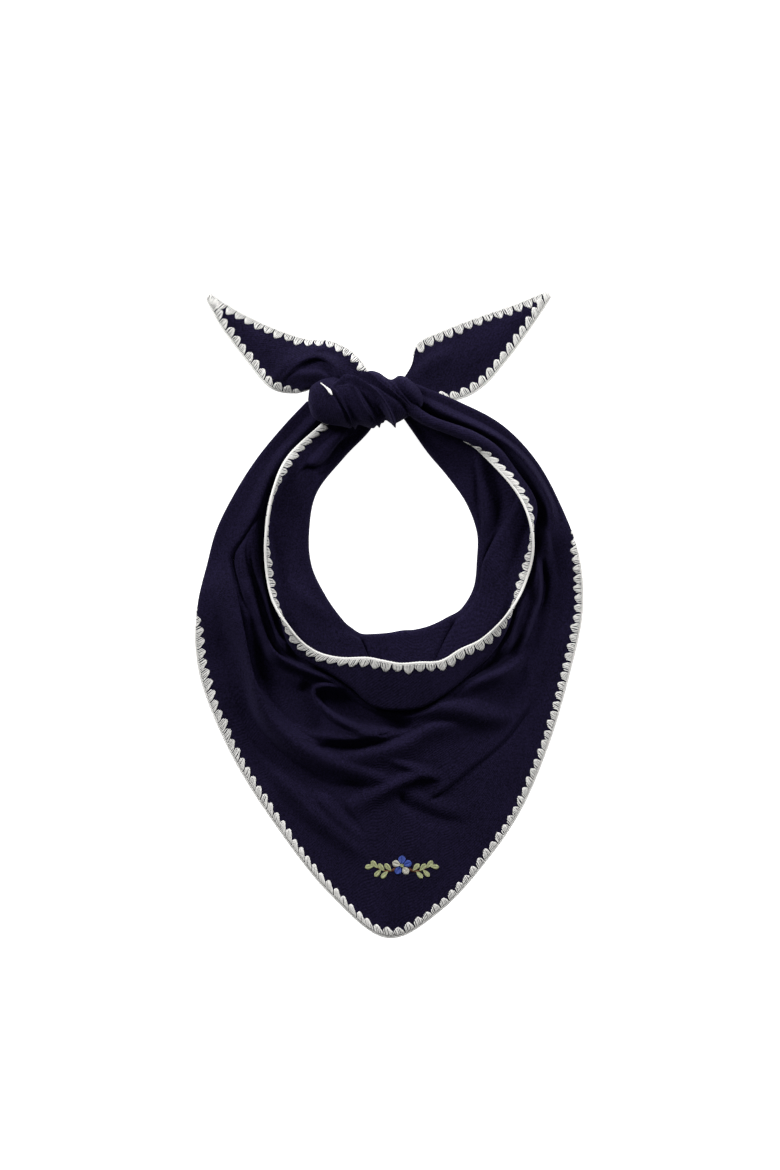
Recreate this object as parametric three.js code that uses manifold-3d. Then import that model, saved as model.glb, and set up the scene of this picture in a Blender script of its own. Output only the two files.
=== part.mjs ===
// A knitted triangle scarf, knotted into a loop and laid flat, with a scalloped stitched edging.
// Millimetres, +Z up. X runs across the loop, Y from the point of the bib towards the knot.
// The scarf lies on the plane z = 0, and the origin is the centre of its footprint.
import * as THREE from "three";
import Module from "manifold-3d";

// Driving dimensions
const CLOTH = 1.6; // thickness of the knitted cloth
const GAP = 0.4; // clearance that the pieces keep
const EDGE_CELL = 10; // width of the flat strip beside each edge, which the stitches cover
const SHELL_PITCH = 9.5; // distance from one shell stitch to the next
const SHELL_REACH = 8; // how far a shell reaches into the cloth
const SHELL_NOTCH = 2.6; // how far the edging reaches between two shells
const TIP_LIFT = 0.5; // how far the tip of a shell stands off the cloth
const CORD_WIDTH = 1.5; // the corded outer line of the edging
const CORD_RISE = 1.0; // how far the corded line stands over the cloth
const ROLL = 9; // length of cloth in the turned-under rim
const RIM_SQUASH = 0.6; // height of that turn beside its true circle
const HOLE_FOLD = 3.5; // radius of the fold round the neck opening
const LAYER_RISE = 3; // how much the inner layer climbs from the neck opening to the turned hem

// Sections of the loop, from its left end in the knot, round the bib, to its right end.
// Each is a straight line in plan from the neck opening to the rim: hem is the distance to the
// stitched hem, turn the angle through which the hem strip curls up and back, curl the length of
// cloth in that curl, flap the length of the strip after it, band the height of the outer roll,
// fold the angle through which the rim is turned under, tuck its length, and lift the height of
// the whole section over the floor.
const SECTIONS = table(
  ["holeX", "holeY", "rimX", "rimY", "hem", "turn", "curl", "flap", "band", "fold", "tuck", "lift"],
  [
    [-14, 187, -74, 190, 26, 35, 9, 10, 10, 180, 12, 1],
    [-17, 167, -94, 169, 44, 35, 9, 10, 12, 180, 14, 0],
    [-41, 141, -118, 140, 49, 55, 9, 10, 14, 180, 12, 0],
    [-66, 109, -138, 109, 38, 85, 9, 10, 14, 180, 18, 0],
    [-73, 75, -155, 75, 37, 95, 9, 10, 15, 180, 22, 0],
    [-71, 43, -164, 42, 39, 100, 9, 10, 14, 180, 18, 0],
    [-58, 15, -172, 6, 46, 105, 9, 10, 12, 100, 10, 0],
    [-43, -6, -173, -33, 46, 130, 9, 11, 8, 15, 10, 0],
    [-34, -14, -164, -74, 42, 155, 9, 14, 4, 0, 10, 0],
    [-25, -19, -137, -134, 31, 172, 9, 22, 2, 0, 10, 0],
    [-12, -19, -97, -196, 28, 180, 9, 32, 0, 0, 10, 0],
    [0, -18, -54, -250, 30, 182, 9, 38, 0, 0, 10, 0],
    [11, -16, -3, -290, 33, 182, 9, 40, 0, 0, 10, 0],
    [24, -15, 45, -266, 33, 182, 9, 38, 0, 0, 10, 0],
    [38, -11, 88, -219, 36, 180, 9, 32, 0, 0, 10, 0],
    [52, -4, 119, -172, 37, 172, 9, 22, 0, 0, 10, 0],
    [65, 4, 143, -114, 37, 138, 9, 12, 2, 0, 10, 0],
    [76, 23, 160, -56, 41, 100, 9, 10, 4, 0, 10, 0],
    [79, 48, 172, 1, 46, 82, 9, 10, 8, 0, 10, 0],
    [79, 73, 169, 52, 50, 95, 9, 10, 12, 40, 10, 0],
    [69, 100, 153, 97, 51, 130, 10, 11, 14, 180, 10, 0],
    [52, 124, 131, 137, 44, 175, 16, 9, 15, 180, 10, 0],
    [35, 144, 100, 169, 27, 270, 36, 3, 15, 180, 10, 4],
    [20, 165, 60, 190, 12, 270, 30, 3, 13, 180, 10, 8],
    [6, 185, 15, 208, 5, 270, 24, 3, 8, 180, 3, 10],
  ],
);
const STEPS = [1, 1, 2, 2, 2, 2, 2, 2, 2, 3, 3, 3, 3, 3, 3, 2, 2, 2, 2, 2, 2, 3, 2, 1];
// Sections between which the edging of the hem and of the rim has its shells: elsewhere it is out
// of sight, and plain
const HEM_SHELLS = [0, 20.4];
const RIM_SHELLS = [5.5, 19.5];

// Folds that stand on the bib and the outer roll: high is the height of the crest, left and right
// the widths of its two flanks seen along the path, lean how far it is pushed over towards its
// left (positive) or right flank, and path the points in plan that the crest runs through.
const FOLDS = table(
  ["name", "high", "left", "right", "lean", "path"],
  [
    ["main left fold", 13, 10, 20, 0.15,
      [[-151, 50], [-143, 3], [-133, -42], [-115, -83], [-94, -108], [-72, -125], [-40, -139], [-9, -152]]],
    ["main right fold", 12, 14, 9, -0.15,
      [[32, -165], [50, -155], [72, -137], [95, -116], [113, -94], [122, -75], [134, -30], [144, 12],
        [145, 50], [135, 91]]],
    ["second left fold", 10, 9, 9, 0.1,
      [[-120, 84], [-129, 61], [-130, 30], [-123, 3], [-115, -24], [-103, -42], [-81, -62], [-49, -75]]],
    ["fold under the flap", 9, 9, 11, 0.1,
      [[7, -92], [25, -90], [45, -86], [68, -85], [90, -82], [112, -70]]],
    ["middle fold", 9, 8, 12, 0.1,
      [[-58, -129], [-36, -125], [-9, -119], [14, -111], [29, -103], [42, -102]]],
    ["hooked fold", 7, 10, 11, 0,
      [[-40, -187], [-18, -178], [0, -170], [14, -160], [27, -149], [40, -150]]],
    ["border fold", 5, 12, 12, 0,
      [[-135, -110], [-112, -137], [-85, -155], [-63, -175], [-40, -193]]],
  ],
);
// Lines of the cloth run along these two chains of folds, the outer first.
const CHAINS = [["main left fold", "main right fold"], ["second left fold", "fold under the flap"]];

// The knot: a bean of cloth rolls, lying across the top of the loop
const KNOT = { x: -24, y: 189, z: 20.6, halfLength: 51, halfWidth: 20.5, halfHeight: 20, tilt: 3 };
const KNOT_ROLLS = { count: 3, twist: 2.6, depth: 0.13 };

// Tails: sections from left to right, each a straight line from the upper edge to the lower one,
// with the height of its edges over the floor and the rise of its crown over them.
const LEFT_TAIL = table(
  ["upX", "upY", "lowX", "lowY", "height", "crown"],
  [
    [-162, 287, -164, 283, 2, 0],
    [-135, 270, -151, 259, 2, 2],
    [-103, 255, -130, 231, 3, 4],
    [-76, 246, -108, 205, 5, 5],
    [-54, 244, -86, 199, 9, 6],
    [-36, 235, -68, 203, 15, 5],
    [-22, 219, -57, 201, 20, 3],
    [-18, 200, -48, 190, 22, 2],
  ],
);
const RIGHT_TAIL = table(
  ["upX", "upY", "lowX", "lowY", "height", "crown"],
  [
    [8, 205, 20, 188, 5.5, 1],
    [19, 222, 38, 193, 2.5, 2],
    [26, 242, 62, 194, 1.5, 3],
    [50, 254, 84, 206, 2, 4],
    [81, 266, 106, 231, 2, 4],
    [113, 277, 126, 258, 2, 2],
    [142, 289, 144, 285, 2, 0],
  ],
);

// The embroidered spray near the point of the bib: a round flower between two leafy twigs
const SPRAY = { x: 11, y: -227, thick: 0.8, petals: 5, petalReach: 8.5, petalWidth: 6.5 };
const SPRAY_TWIG = { length: 25, halfWidth: 0.9, bow: 5, leaves: 2, leafLength: 10, leafWidth: 5 };

const KNIT = { color: 0x161230, roughness: 0.95, metalness: 0 };
const YARN = { color: 0xe4e3dc, roughness: 0.85, metalness: 0 };
const EMBROIDERY = { color: 0xb9bd8a, roughness: 0.7, metalness: 0 };

const TIE = 1e-6; // two lengths closer than this count as equal

const wasm = await Module();
wasm.setup();

// Rows of numbers as objects with named fields.
function table(columns, rows) {
  return rows.map((row) => Object.fromEntries(columns.map((name, i) => [name, row[i]])));
}

// A value that eases from 0 at a to 1 at b.
function ease(a, b, x) {
  return THREE.MathUtils.smoothstep(x, a, b);
}

// The fields of a table between its rows, at a whole or fractional row number, on a smooth curve.
function between(rows, at) {
  const i = Math.min(Math.floor(at), rows.length - 2);
  const f = at - i;
  const row = (k) => rows[THREE.MathUtils.clamp(k, 0, rows.length - 1)];
  const curve = (a, b, c, d) =>
    b + 0.5 * f * (c - a + f * (2 * a - 5 * b + 4 * c - d + f * (3 * (b - c) + d - a)));
  const names = Object.keys(rows[0]);
  return Object.fromEntries(
    names.map((n) => [n, curve(row(i - 1)[n], row(i)[n], row(i + 1)[n], row(i + 2)[n])]),
  );
}

// Points [out, up] of a strip that starts at the origin heading outwards, turns through an angle
// (positive upwards) over the length curl, and ends with straight pieces of the given lengths.
function rolledEdge(angle, curl, turnSteps, pieces) {
  const points = [[0, 0]];
  let heading = angle / turnSteps / 2;
  const go = (length) => {
    const [out, up] = points.at(-1);
    points.push([out + length * Math.cos(heading), up + length * Math.sin(heading)]);
  };
  for (let k = 0; k < turnSteps; k++) {
    go(curl / turnSteps);
    heading += k < turnSteps - 1 ? angle / turnSteps : angle / turnSteps / 2;
  }
  pieces.forEach(go);
  return points;
}

// How far a section, which starts at hole and runs along reach, meets a chain of folds.
function chainDistance(names, hole, reach) {
  const path = names.flatMap((name) => FOLDS.find((fold) => fold.name === name).path);
  for (let i = 0; i < path.length - 1; i++) {
    const [ax, ay] = [path[i][0] - hole.x, path[i][1] - hole.y];
    const [bx, by] = [path[i + 1][0] - hole.x, path[i + 1][1] - hole.y];
    const sideA = reach.x * ay - reach.y * ax;
    const sideB = reach.x * by - reach.y * bx;
    if (sideA * sideB > 0) continue;
    const share = sideA / (sideA - sideB);
    const out = reach.x * (ax + share * (bx - ax)) + reach.y * (ay + share * (by - ay));
    if (out > 0) return out;
  }
  return null;
}

// Distances of the outer layer's lines between start and end: one on each of the two ridges, one
// at its foot on either side, and even steps between. A ridge that is not there gets a share of
// the way, so every section has the same lines.
function lineDistances(start, [outerRidge, innerRidge], end) {
  const way = end - start;
  const within = (out, share, low, high) =>
    THREE.MathUtils.clamp(out ?? start + share * way, start + low * way, start + high * way);
  const inner = within(innerRidge, 0.22, 0.12, 0.4);
  const outer = within(outerRidge, 0.62, 0.55, 0.85);
  const innerFoot = Math.min(9, (inner - start) * 0.6, (outer - inner) * 0.3);
  const outerFoot = Math.min(9, (end - outer) * 0.6, (outer - inner) * 0.3);
  const steps = (from, to, count) =>
    Array.from({ length: count }, (_, k) => from + ((to - from) * (k + 1)) / (count + 1));
  return [
    inner - innerFoot, inner, inner + innerFoot,
    ...steps(inner + innerFoot, outer - outerFoot, 2),
    outer - outerFoot, outer, outer + outerFoot,
    ...steps(outer + outerFoot, end, 2),
  ];
}

// Height and sideways push of the folds at a point in plan.
function foldAt(x, y) {
  const push = new THREE.Vector3();
  for (const fold of FOLDS) {
    let best = null;
    const segments = fold.path.length - 1;
    for (let i = 0; i < segments; i++) {
      const [ax, ay] = fold.path[i];
      const [bx, by] = fold.path[i + 1];
      const length = Math.hypot(bx - ax, by - ay);
      const ux = (bx - ax) / length;
      const uy = (by - ay) / length;
      const along = THREE.MathUtils.clamp((x - ax) * ux + (y - ay) * uy, 0, length);
      const dx = x - ax - along * ux;
      const dy = y - ay - along * uy;
      const away = Math.hypot(dx, dy);
      if (!best || away < best.away) {
        const side = Math.sign(ux * dy - uy * dx);
        best = { away, side, share: (i + along / length) / segments, ux, uy };
      }
    }
    const width = best.side > 0 ? fold.left : fold.right;
    const taper = ease(0, 0.14, best.share) * ease(0, 0.14, 1 - best.share);
    const rise = fold.high * taper * Math.exp(-((best.away / width) ** 2) * 1.4);
    push.x += -best.uy * rise * fold.lean;
    push.y += best.ux * rise * fold.lean;
    push.z += rise;
  }
  return push;
}

// One section of the loop: the middle line of the cloth, from the hem, through the inner layer,
// round the neck opening and out to the rim.
function loopSection(row) {
  const hole = new THREE.Vector2(row.holeX, row.holeY);
  const reach = new THREE.Vector2(row.rimX, row.rimY).sub(hole);
  const length = reach.length();
  reach.normalize();
  const floor = row.lift + CLOTH / 2;
  const at = (out, up) => new THREE.Vector3(hole.x + reach.x * out, hole.y + reach.y * out, up);

  // The hem strip, turned up from the inner layer
  const cell = Math.min(row.flap, EDGE_CELL);
  const flap = [Math.max(row.flap - cell, 0.5), cell];
  const hem = rolledEdge(THREE.MathUtils.degToRad(row.turn), row.curl, 4, flap);
  const hemStart = row.hem - hem.at(-1)[0];
  const layer = floor + 2 * HOLE_FOLD;
  const hemFoot = layer + LAYER_RISE;
  const hemReach = hemStart + Math.max(...hem.map(([out]) => out));
  const inner = hem.map(([out, up]) => at(hemStart + out, hemFoot + up)).reverse();
  inner.push(at((hemStart + HOLE_FOLD) / 2, (layer + hemFoot) / 2));
  inner.push(at(HOLE_FOLD, layer), at(0, floor + HOLE_FOLD), at(HOLE_FOLD, floor));

  // The rim, flat on the floor or turned under
  const fold = THREE.MathUtils.degToRad(row.fold);
  const rim = rolledEdge(-fold, ROLL, 3, [row.tuck]).map(([out, up]) => [out, RIM_SQUASH * up]);
  const rimStart = length - Math.max(...rim.map(([out]) => out));
  const edgeHeight = floor + 1.9 * ease(0, 60, row.fold);
  const rimFoot = edgeHeight - rim.at(-1)[1];

  // The outer layer: under the flap on the floor, then up over the roll and down to the rim
  const start = hemReach + 2;
  const crest = Math.max(row.band + floor, rimFoot);
  const ridges = CHAINS.map((names) => chainDistance(names, hole, reach));
  const outer = [at(start, floor)];
  for (const out of lineDistances(start, ridges, rimStart)) {
    const q = (out - start) / (rimStart - start);
    const up = floor + (crest - floor) * ease(0, 0.32, q) + (rimFoot - crest) * ease(0.55, 1, q);
    const point = at(out, up);
    const free = ease(start, start + 10, out) * (1 - ease(rimStart - 18, rimStart + 4, out));
    const push = foldAt(point.x, point.y).multiplyScalar(free);
    outer.push(point.add(push));
  }
  outer.push(...rim.map(([out, up]) => at(rimStart + out, rimFoot + up)));
  return [...inner, ...outer];
}

// Unit normals of a grid of points, on the side where the steps along a row and then from row to
// row turn clockwise.
function gridNormals(grid) {
  return grid.map((row, i) =>
    row.map((_, j) => {
      const before = grid[Math.max(i - 1, 0)][j];
      const after = grid[Math.min(i + 1, grid.length - 1)][j];
      const inside = row[Math.max(j - 1, 0)];
      const outside = row[Math.min(j + 1, row.length - 1)];
      const across = outside.clone().sub(inside);
      return across.cross(after.clone().sub(before)).normalize();
    }),
  );
}

// Signed volume of an indexed triangle list.
function volume(points, index) {
  let sum = 0;
  for (let i = 0; i < index.length; i += 3) {
    const [a, b, c] = [points[index[i]], points[index[i + 1]], points[index[i + 2]]];
    sum += a.dot(b.clone().cross(c)) / 6;
  }
  return sum;
}

// A closed body through rings of points, all with the same count. Each ring's second half lies
// opposite its first half, so both pick the same diagonal, the shorter one.
function bodyThroughRings(rings) {
  const count = rings[0].length;
  const points = rings.flat();
  const index = [];
  const apart = (i, j, k) =>
    rings[i][j].distanceTo(rings[i + 1][k]) +
    rings[i][count - 1 - k].distanceTo(rings[i + 1][count - 1 - j]);
  for (let i = 0; i < rings.length - 1; i++) {
    for (let j = 0; j < count; j++) {
      const next = (j + 1) % count;
      const a = i * count + j;
      const b = i * count + next;
      const flip = apart(i, j, next) < apart(i, next, j) - TIE;
      const second = flip ? [a, b + count, a + count] : [b, b + count, a + count];
      index.push(a, b, flip ? b + count : a + count, ...second);
    }
  }
  return closed(points, index, [0, (rings.length - 1) * count], count);
}

// Closes the ends of rings by strips between their two halves, and turns the faces outwards.
function closed(points, index, ends, count) {
  ends.forEach((first, which) => {
    for (let j = 0; j < Math.ceil(count / 2) - 1; j++) {
      const a = first + j;
      const b = first + j + 1;
      const c = first + count - 2 - j;
      const d = first + count - 1 - j;
      const faces = b < c ? [a, d, b, b, d, c] : [a, d, b];
      index.push(...(which ? faces.reverse() : faces));
    }
  });
  if (volume(points, index) < 0) index.reverse();
  const geometry = new THREE.BufferGeometry().setFromPoints(points);
  geometry.setIndex(index);
  return geometry;
}

// Both faces of a cloth whose middle is a grid of points.
function faces(grid, thick) {
  const normals = gridNormals(grid);
  const side = (sign) =>
    grid.map((row, i) =>
      row.map((p, j) => {
        const q = p.clone().addScaledVector(normals[i][j], (sign * thick) / 2);
        q.z = Math.max(q.z, 0);
        return q;
      }),
    );
  return { face: side(1), back: side(-1) };
}

// A cloth of the given thickness round a grid of points.
function clothBody(grid, thick) {
  const { face, back } = faces(grid, thick);
  return bodyThroughRings(face.map((row, i) => [...row, ...back[i].slice().reverse()]));
}

// Places along a row of edge points: a notch and a shell in turn, or one at each point of the
// row in the plain stretches, which plain picks by the number of the point.
function stitchPlaces(edge, plain) {
  const lengths = edge.slice(1).map((p, i) => p.distanceTo(edge[i]));
  const total = lengths.reduce((a, b) => a + b, 0);
  const shells = Math.round(total / SHELL_PITCH);
  const last = lengths.length;
  const places = edge.map((_, i) => (i < last ? { row: i, share: 0 } : { row: last - 1, share: 1 }));
  const kept = places.filter((_, i) => plain(i));
  for (let k = 0; k <= 2 * shells; k++) {
    let left = (total * (k + (k % 2) * 0.25)) / (2 * shells);
    let i = 0;
    while (i < last - 1 && left > lengths[i]) {
      left -= lengths[i];
      i += 1;
    }
    const share = Math.min(left / lengths[i], 1);
    if (!(plain(i) && plain(i + 1))) kept.push({ row: i, share, shell: k % 2 === 1 });
  }
  return kept.sort((a, b) => a.row + a.share - b.row - b.share);
}

// The stitched edging of a cloth edge: a corded line outside the edge, with shells that reach in
// over its face, and over its back too where wraps is true.
function edging(strip, wraps, plain = () => false) {
  const mix = (list, place) => list[place.row].clone().lerp(list[place.row + 1], place.share);
  const gap = (wraps ? 2 : 1) * GAP;
  const skin = CLOTH / 2 + gap;
  const tip = skin + (wraps ? 2 : 1) * TIP_LIFT;
  const out = -gap - CORD_WIDTH;
  const rings = stitchPlaces(strip.edge, plain).map((place) => {
    const edge = mix(strip.edge, place);
    const into = mix(strip.inner, place).sub(edge);
    const reach = Math.min(place.shell ? SHELL_REACH : SHELL_NOTCH, 0.85 * into.length());
    into.normalize();
    const normal = mix(strip.normal, place).normalize();
    const point = (inwards, up) =>
      edge.clone().addScaledVector(into, inwards).addScaledVector(normal, up);
    if (wraps) {
      return [
        point(reach, tip), point(out, skin + CORD_RISE / 2), point(out, -skin - CORD_RISE / 2),
        point(reach, -tip), point(-gap, -skin), point(-gap, skin),
      ];
    }
    return [point(reach, tip), point(out, skin + CORD_RISE), point(out, -CLOTH / 2), point(-gap, skin)];
  });
  return bodyThroughRings(rings);
}

// The knot's surface, or one that stands off it by a clearance.
function knotBody(clearance) {
  const lengthSteps = 16;
  const roundSteps = 20;
  const rings = [];
  for (let i = 0; i <= lengthSteps; i++) {
    const t = -1 + (2 * i) / lengthSteps;
    const along = Math.sin((t * Math.PI) / 2);
    const girth = Math.max(1 - Math.abs(along) ** 2.6, 0.001) ** 0.5;
    const ring = [];
    for (let j = 0; j < roundSteps; j++) {
      const round = (2 * Math.PI * j) / roundSteps;
      const phase = KNOT_ROLLS.count * round + KNOT_ROLLS.twist * 2 * along;
      const roll = 1 - KNOT_ROLLS.depth * (1 - Math.abs(Math.cos(phase / 2)));
      const wide = KNOT.halfWidth * girth * roll + clearance;
      const tall = KNOT.halfHeight * girth * roll + clearance;
      const far = along * (KNOT.halfLength + clearance);
      ring.push(new THREE.Vector3(far, wide * Math.cos(round), tall * Math.sin(round)));
    }
    rings.push(ring);
  }
  const body = bodyThroughRings(rings);
  body.rotateZ(THREE.MathUtils.degToRad(KNOT.tilt));
  return body.translate(KNOT.x, KNOT.y, KNOT.z);
}

// A tail as a grid of points: sections of a table, each with a gentle crown.
function tailGrid(rows, stepsPerRow, lines) {
  const grid = [];
  for (let i = 0; i <= (rows.length - 1) * stepsPerRow; i++) {
    const row = between(rows, i / stepsPerRow);
    const up = new THREE.Vector3(row.upX, row.upY, row.height);
    const low = new THREE.Vector3(row.lowX, row.lowY, row.height);
    const width = up.distanceTo(low);
    const cell = Math.min(EDGE_CELL, width / 3) / width;
    const shares = [0, cell];
    for (let k = 1; k < lines; k++) shares.push(cell + ((1 - 2 * cell) * k) / lines);
    shares.push(1 - cell, 1);
    grid.push(
      shares.map((share) => {
        const p = up.clone().lerp(low, share);
        p.z += row.crown * Math.sin(Math.PI * share) ** 2 + CLOTH / 2;
        return p;
      }),
    );
  }
  return grid;
}

// The strip beside one edge of a grid: the edge, the line of points inside it, and the normals.
function strip(grid, edgeLine, innerLine) {
  const normals = gridNormals(grid);
  return {
    edge: grid.map((row) => row.at(edgeLine)),
    inner: grid.map((row) => row.at(innerLine)),
    normal: normals.map((row) => row.at(edgeLine)),
  };
}

// Both edges of a tail as one strip that runs from the knot round the tip and back.
function tailStrip(grid, tipFirst) {
  const rows = tipFirst ? grid.slice().reverse() : grid;
  const tip = rows.at(-1);
  const middle = (row) => row[0].clone().lerp(row.at(-1), 0.5);
  const inwards = middle(rows.at(-2)).sub(middle(tip)).setLength(CORD_WIDTH);
  const across = tip.at(-1).clone().sub(tip[0]).setLength(CORD_WIDTH);
  const upper = strip(rows, 0, 1);
  const lower = strip(rows, -1, -2);
  upper.inner[rows.length - 1] = tip[0].clone().add(inwards).add(across);
  lower.inner[rows.length - 1] = tip.at(-1).clone().add(inwards).sub(across);
  const normal = tipFirst ? (n) => n.negate() : (n) => n;
  inwards.setLength(GAP);
  const end = { edge: middle(tip), inner: middle(tip).add(inwards), normal: upper.normal.at(-1) };
  const [there, back] = tipFirst ? [upper, lower] : [lower, upper];
  const join = (field) => [...there[field], end[field].clone(), ...back[field].slice().reverse()];
  return { edge: join("edge"), inner: join("inner"), normal: join("normal").map(normal) };
}

// A pointed leaf as an outline from its foot to its tip and back.
function leafOutline(foot, angle, length, width) {
  const tip = [foot[0] + length * Math.cos(angle), foot[1] + length * Math.sin(angle)];
  const side = (share, sign) => [
    foot[0] + (tip[0] - foot[0]) * share - sign * width * Math.sin(angle) * 0.5,
    foot[1] + (tip[1] - foot[1]) * share + sign * width * Math.cos(angle) * 0.5,
  ];
  return [foot, side(0.45, -1), tip, side(0.45, 1)];
}

// A flat plate of an outline, standing on the bib at the spray's place.
function plate(outline) {
  const shape = new THREE.Shape(outline.map(([x, y]) => new THREE.Vector2(x, y)));
  const body = new THREE.ExtrudeGeometry(shape, { depth: SPRAY.thick, bevelEnabled: false });
  return body.translate(SPRAY.x, SPRAY.y, CLOTH + GAP);
}

// The spray: petals, twigs and leaves joined into one body.
function sprayBody() {
  const parts = [];
  for (let k = 0; k < SPRAY.petals; k++) {
    const angle = Math.PI / 2 + (2 * Math.PI * k) / SPRAY.petals;
    const foot = [-Math.cos(angle), -Math.sin(angle)];
    parts.push(leafOutline(foot, angle, SPRAY.petalReach, SPRAY.petalWidth));
  }
  for (const sign of [-1, 1]) {
    const bend = (share) => {
      const drop = SPRAY_TWIG.bow * Math.sin(Math.PI * share);
      return [sign * share * SPRAY_TWIG.length, -drop];
    };
    const shares = [0, 0.25, 0.5, 0.75, 1];
    const upper = shares.map(bend).map(([x, y]) => [x, y + SPRAY_TWIG.halfWidth]);
    const lower = shares.map(bend).map(([x, y]) => [x, y - SPRAY_TWIG.halfWidth]);
    parts.push([...lower, ...upper.reverse()]);
    for (let k = 0; k < SPRAY_TWIG.leaves; k++) {
      const foot = bend(0.5 + 0.3 * k);
      for (const side of [-1, 1]) {
        const lie = side * THREE.MathUtils.degToRad(52);
        const angle = sign > 0 ? lie : Math.PI - lie;
        parts.push(leafOutline(foot, angle, SPRAY_TWIG.leafLength, SPRAY_TWIG.leafWidth));
      }
    }
  }
  return parts.map((outline) => solid(plate(outline))).reduce((a, b) => a.add(b));
}

// A closed geometry as a solid that can be cut and joined.
function solid(geometry) {
  const flat = geometry.index ? geometry.toNonIndexed() : geometry;
  const places = flat.getAttribute("position");
  const seen = new Map();
  const vertices = [];
  const triangles = [];
  for (let i = 0; i < places.count; i++) {
    const point = [places.getX(i), places.getY(i), places.getZ(i)];
    const key = point.map((v) => Math.round(v * 1e4)).join();
    if (!seen.has(key)) {
      seen.set(key, vertices.length / 3);
      vertices.push(...point);
    }
    triangles.push(seen.get(key));
  }
  const mesh = new wasm.Mesh({
    numProp: 3,
    vertProperties: new Float32Array(vertices),
    triVerts: new Uint32Array(triangles),
  });
  return new wasm.Manifold(mesh);
}

// The largest body of a solid, as a geometry.
function largest(body) {
  const pieces = body.decompose().sort((a, b) => b.volume() - a.volume());
  const mesh = pieces[0].getMesh();
  const geometry = new THREE.BufferGeometry();
  geometry.setAttribute("position", new THREE.BufferAttribute(mesh.vertProperties, 3));
  geometry.setIndex(new THREE.BufferAttribute(mesh.triVerts, 1));
  return geometry;
}

// A named mesh, with flat shading.
function piece(name, geometry, finish) {
  const flat = geometry.toNonIndexed();
  flat.computeVertexNormals();
  const mesh = new THREE.Mesh(flat, new THREE.MeshStandardMaterial(finish));
  mesh.name = name;
  return mesh;
}

// The loop and the bib
const sectionOfRow = STEPS.flatMap((steps, i) =>
  Array.from({ length: steps }, (_, k) => i + k / steps),
);
sectionOfRow.push(STEPS.length);
const loopGrid = sectionOfRow.map((at) => loopSection(between(SECTIONS, at)));
const knotRoom = solid(knotBody(GAP));
const cutAtKnot = (geometry) => solid(geometry).subtract(knotRoom);
const clearOf = (geometry, grid) => cutAtKnot(geometry).subtract(solid(clothBody(grid, CLOTH + GAP)));

const scarf = new THREE.Group();
scarf.add(piece("scarf_cloth", largest(cutAtKnot(clothBody(loopGrid, CLOTH))), KNIT));
const hidden = ([from, to]) => (row) => sectionOfRow[row] < from || sectionOfRow[row] > to;
const hemLine = edging(strip(loopGrid, 0, 1), true, hidden(HEM_SHELLS));
scarf.add(piece("neck_edging", largest(clearOf(hemLine, loopGrid)), YARN));
const rimLine = edging(strip(loopGrid, -1, -2), false, hidden(RIM_SHELLS));
scarf.add(piece("bib_edging", largest(clearOf(rimLine, loopGrid)), YARN));
scarf.add(piece("knot", knotBody(0), KNIT));

const tails = { left_tail: [LEFT_TAIL, true], right_tail: [RIGHT_TAIL, false] };
for (const [name, [rows, tipFirst]] of Object.entries(tails)) {
  const grid = tailGrid(rows, 2, 2);
  scarf.add(piece(name, largest(cutAtKnot(clothBody(grid, CLOTH))), KNIT));
  const tip = (row) => Math.abs(row - grid.length) <= 1;
  const line = edging(tailStrip(grid, tipFirst), false, tip);
  scarf.add(piece(`${name}_edging`, largest(cutAtKnot(line)), YARN));
}
scarf.add(piece("embroidered_spray", largest(sprayBody()), EMBROIDERY));

export default scarf;
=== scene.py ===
# %% [markdown]
# # A triangle scarf, knotted into a loop and laid flat
#
# A soft navy knit, edged all round with shell stitches of off-white yarn. It is tied into a loop and
# photographed from straight above. Everything here is a surface worked out with numpy, in millimetres
# first and in metres when it becomes a mesh, on top of the fixed frame that is loaded first.

import bpy
import numpy as np
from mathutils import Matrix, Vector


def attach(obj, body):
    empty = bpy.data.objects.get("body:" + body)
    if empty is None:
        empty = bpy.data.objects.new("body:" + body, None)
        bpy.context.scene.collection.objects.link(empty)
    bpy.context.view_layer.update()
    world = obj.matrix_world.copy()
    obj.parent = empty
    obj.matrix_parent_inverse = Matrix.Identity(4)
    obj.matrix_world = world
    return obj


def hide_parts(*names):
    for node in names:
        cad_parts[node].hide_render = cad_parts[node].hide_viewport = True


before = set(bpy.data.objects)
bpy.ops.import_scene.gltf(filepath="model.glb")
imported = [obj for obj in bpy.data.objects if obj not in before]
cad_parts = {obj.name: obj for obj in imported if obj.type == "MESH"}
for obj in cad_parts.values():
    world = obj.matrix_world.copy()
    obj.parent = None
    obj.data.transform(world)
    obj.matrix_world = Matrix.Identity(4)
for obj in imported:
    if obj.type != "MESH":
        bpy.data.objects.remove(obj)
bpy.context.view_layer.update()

print("nodes:", ", ".join(sorted(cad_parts)))

# %% [markdown]
# ## Camera
#
# The picture was taken from straight above with a long lens. A perspective camera high over the
# scarf gives the same view, and its distance follows from the height of the picture in millimetres.

# %% Camera
MM = 0.001
VIEW_CENTRE = (0.225, 25.425)  # middle of the picture, in millimetres over the floor
VIEW_HEIGHT = 1053  # what the picture's height covers, in millimetres
SENSOR = 36  # height of the sensor, in millimetres
LENS = 110  # focal length, in millimetres
FARTHEST = 100  # how far the camera sees, in metres

camera = bpy.data.objects.new("camera", bpy.data.cameras.new("camera"))
camera.data.lens = LENS
camera.data.sensor_width = SENSOR
camera.data.clip_end = FARTHEST
camera.location = (VIEW_CENTRE[0] * MM, VIEW_CENTRE[1] * MM, VIEW_HEIGHT * MM * LENS / SENSOR)
bpy.context.scene.collection.objects.link(camera)
bpy.context.scene.camera = camera
print("camera height in metres:", round(camera.location.z, 3))

# %% [markdown]
# ## Nodes
#
# A shader is built from nodes. One small helper makes a node, sets its options and links or fills its
# inputs, so that each material below reads as a short recipe.

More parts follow.
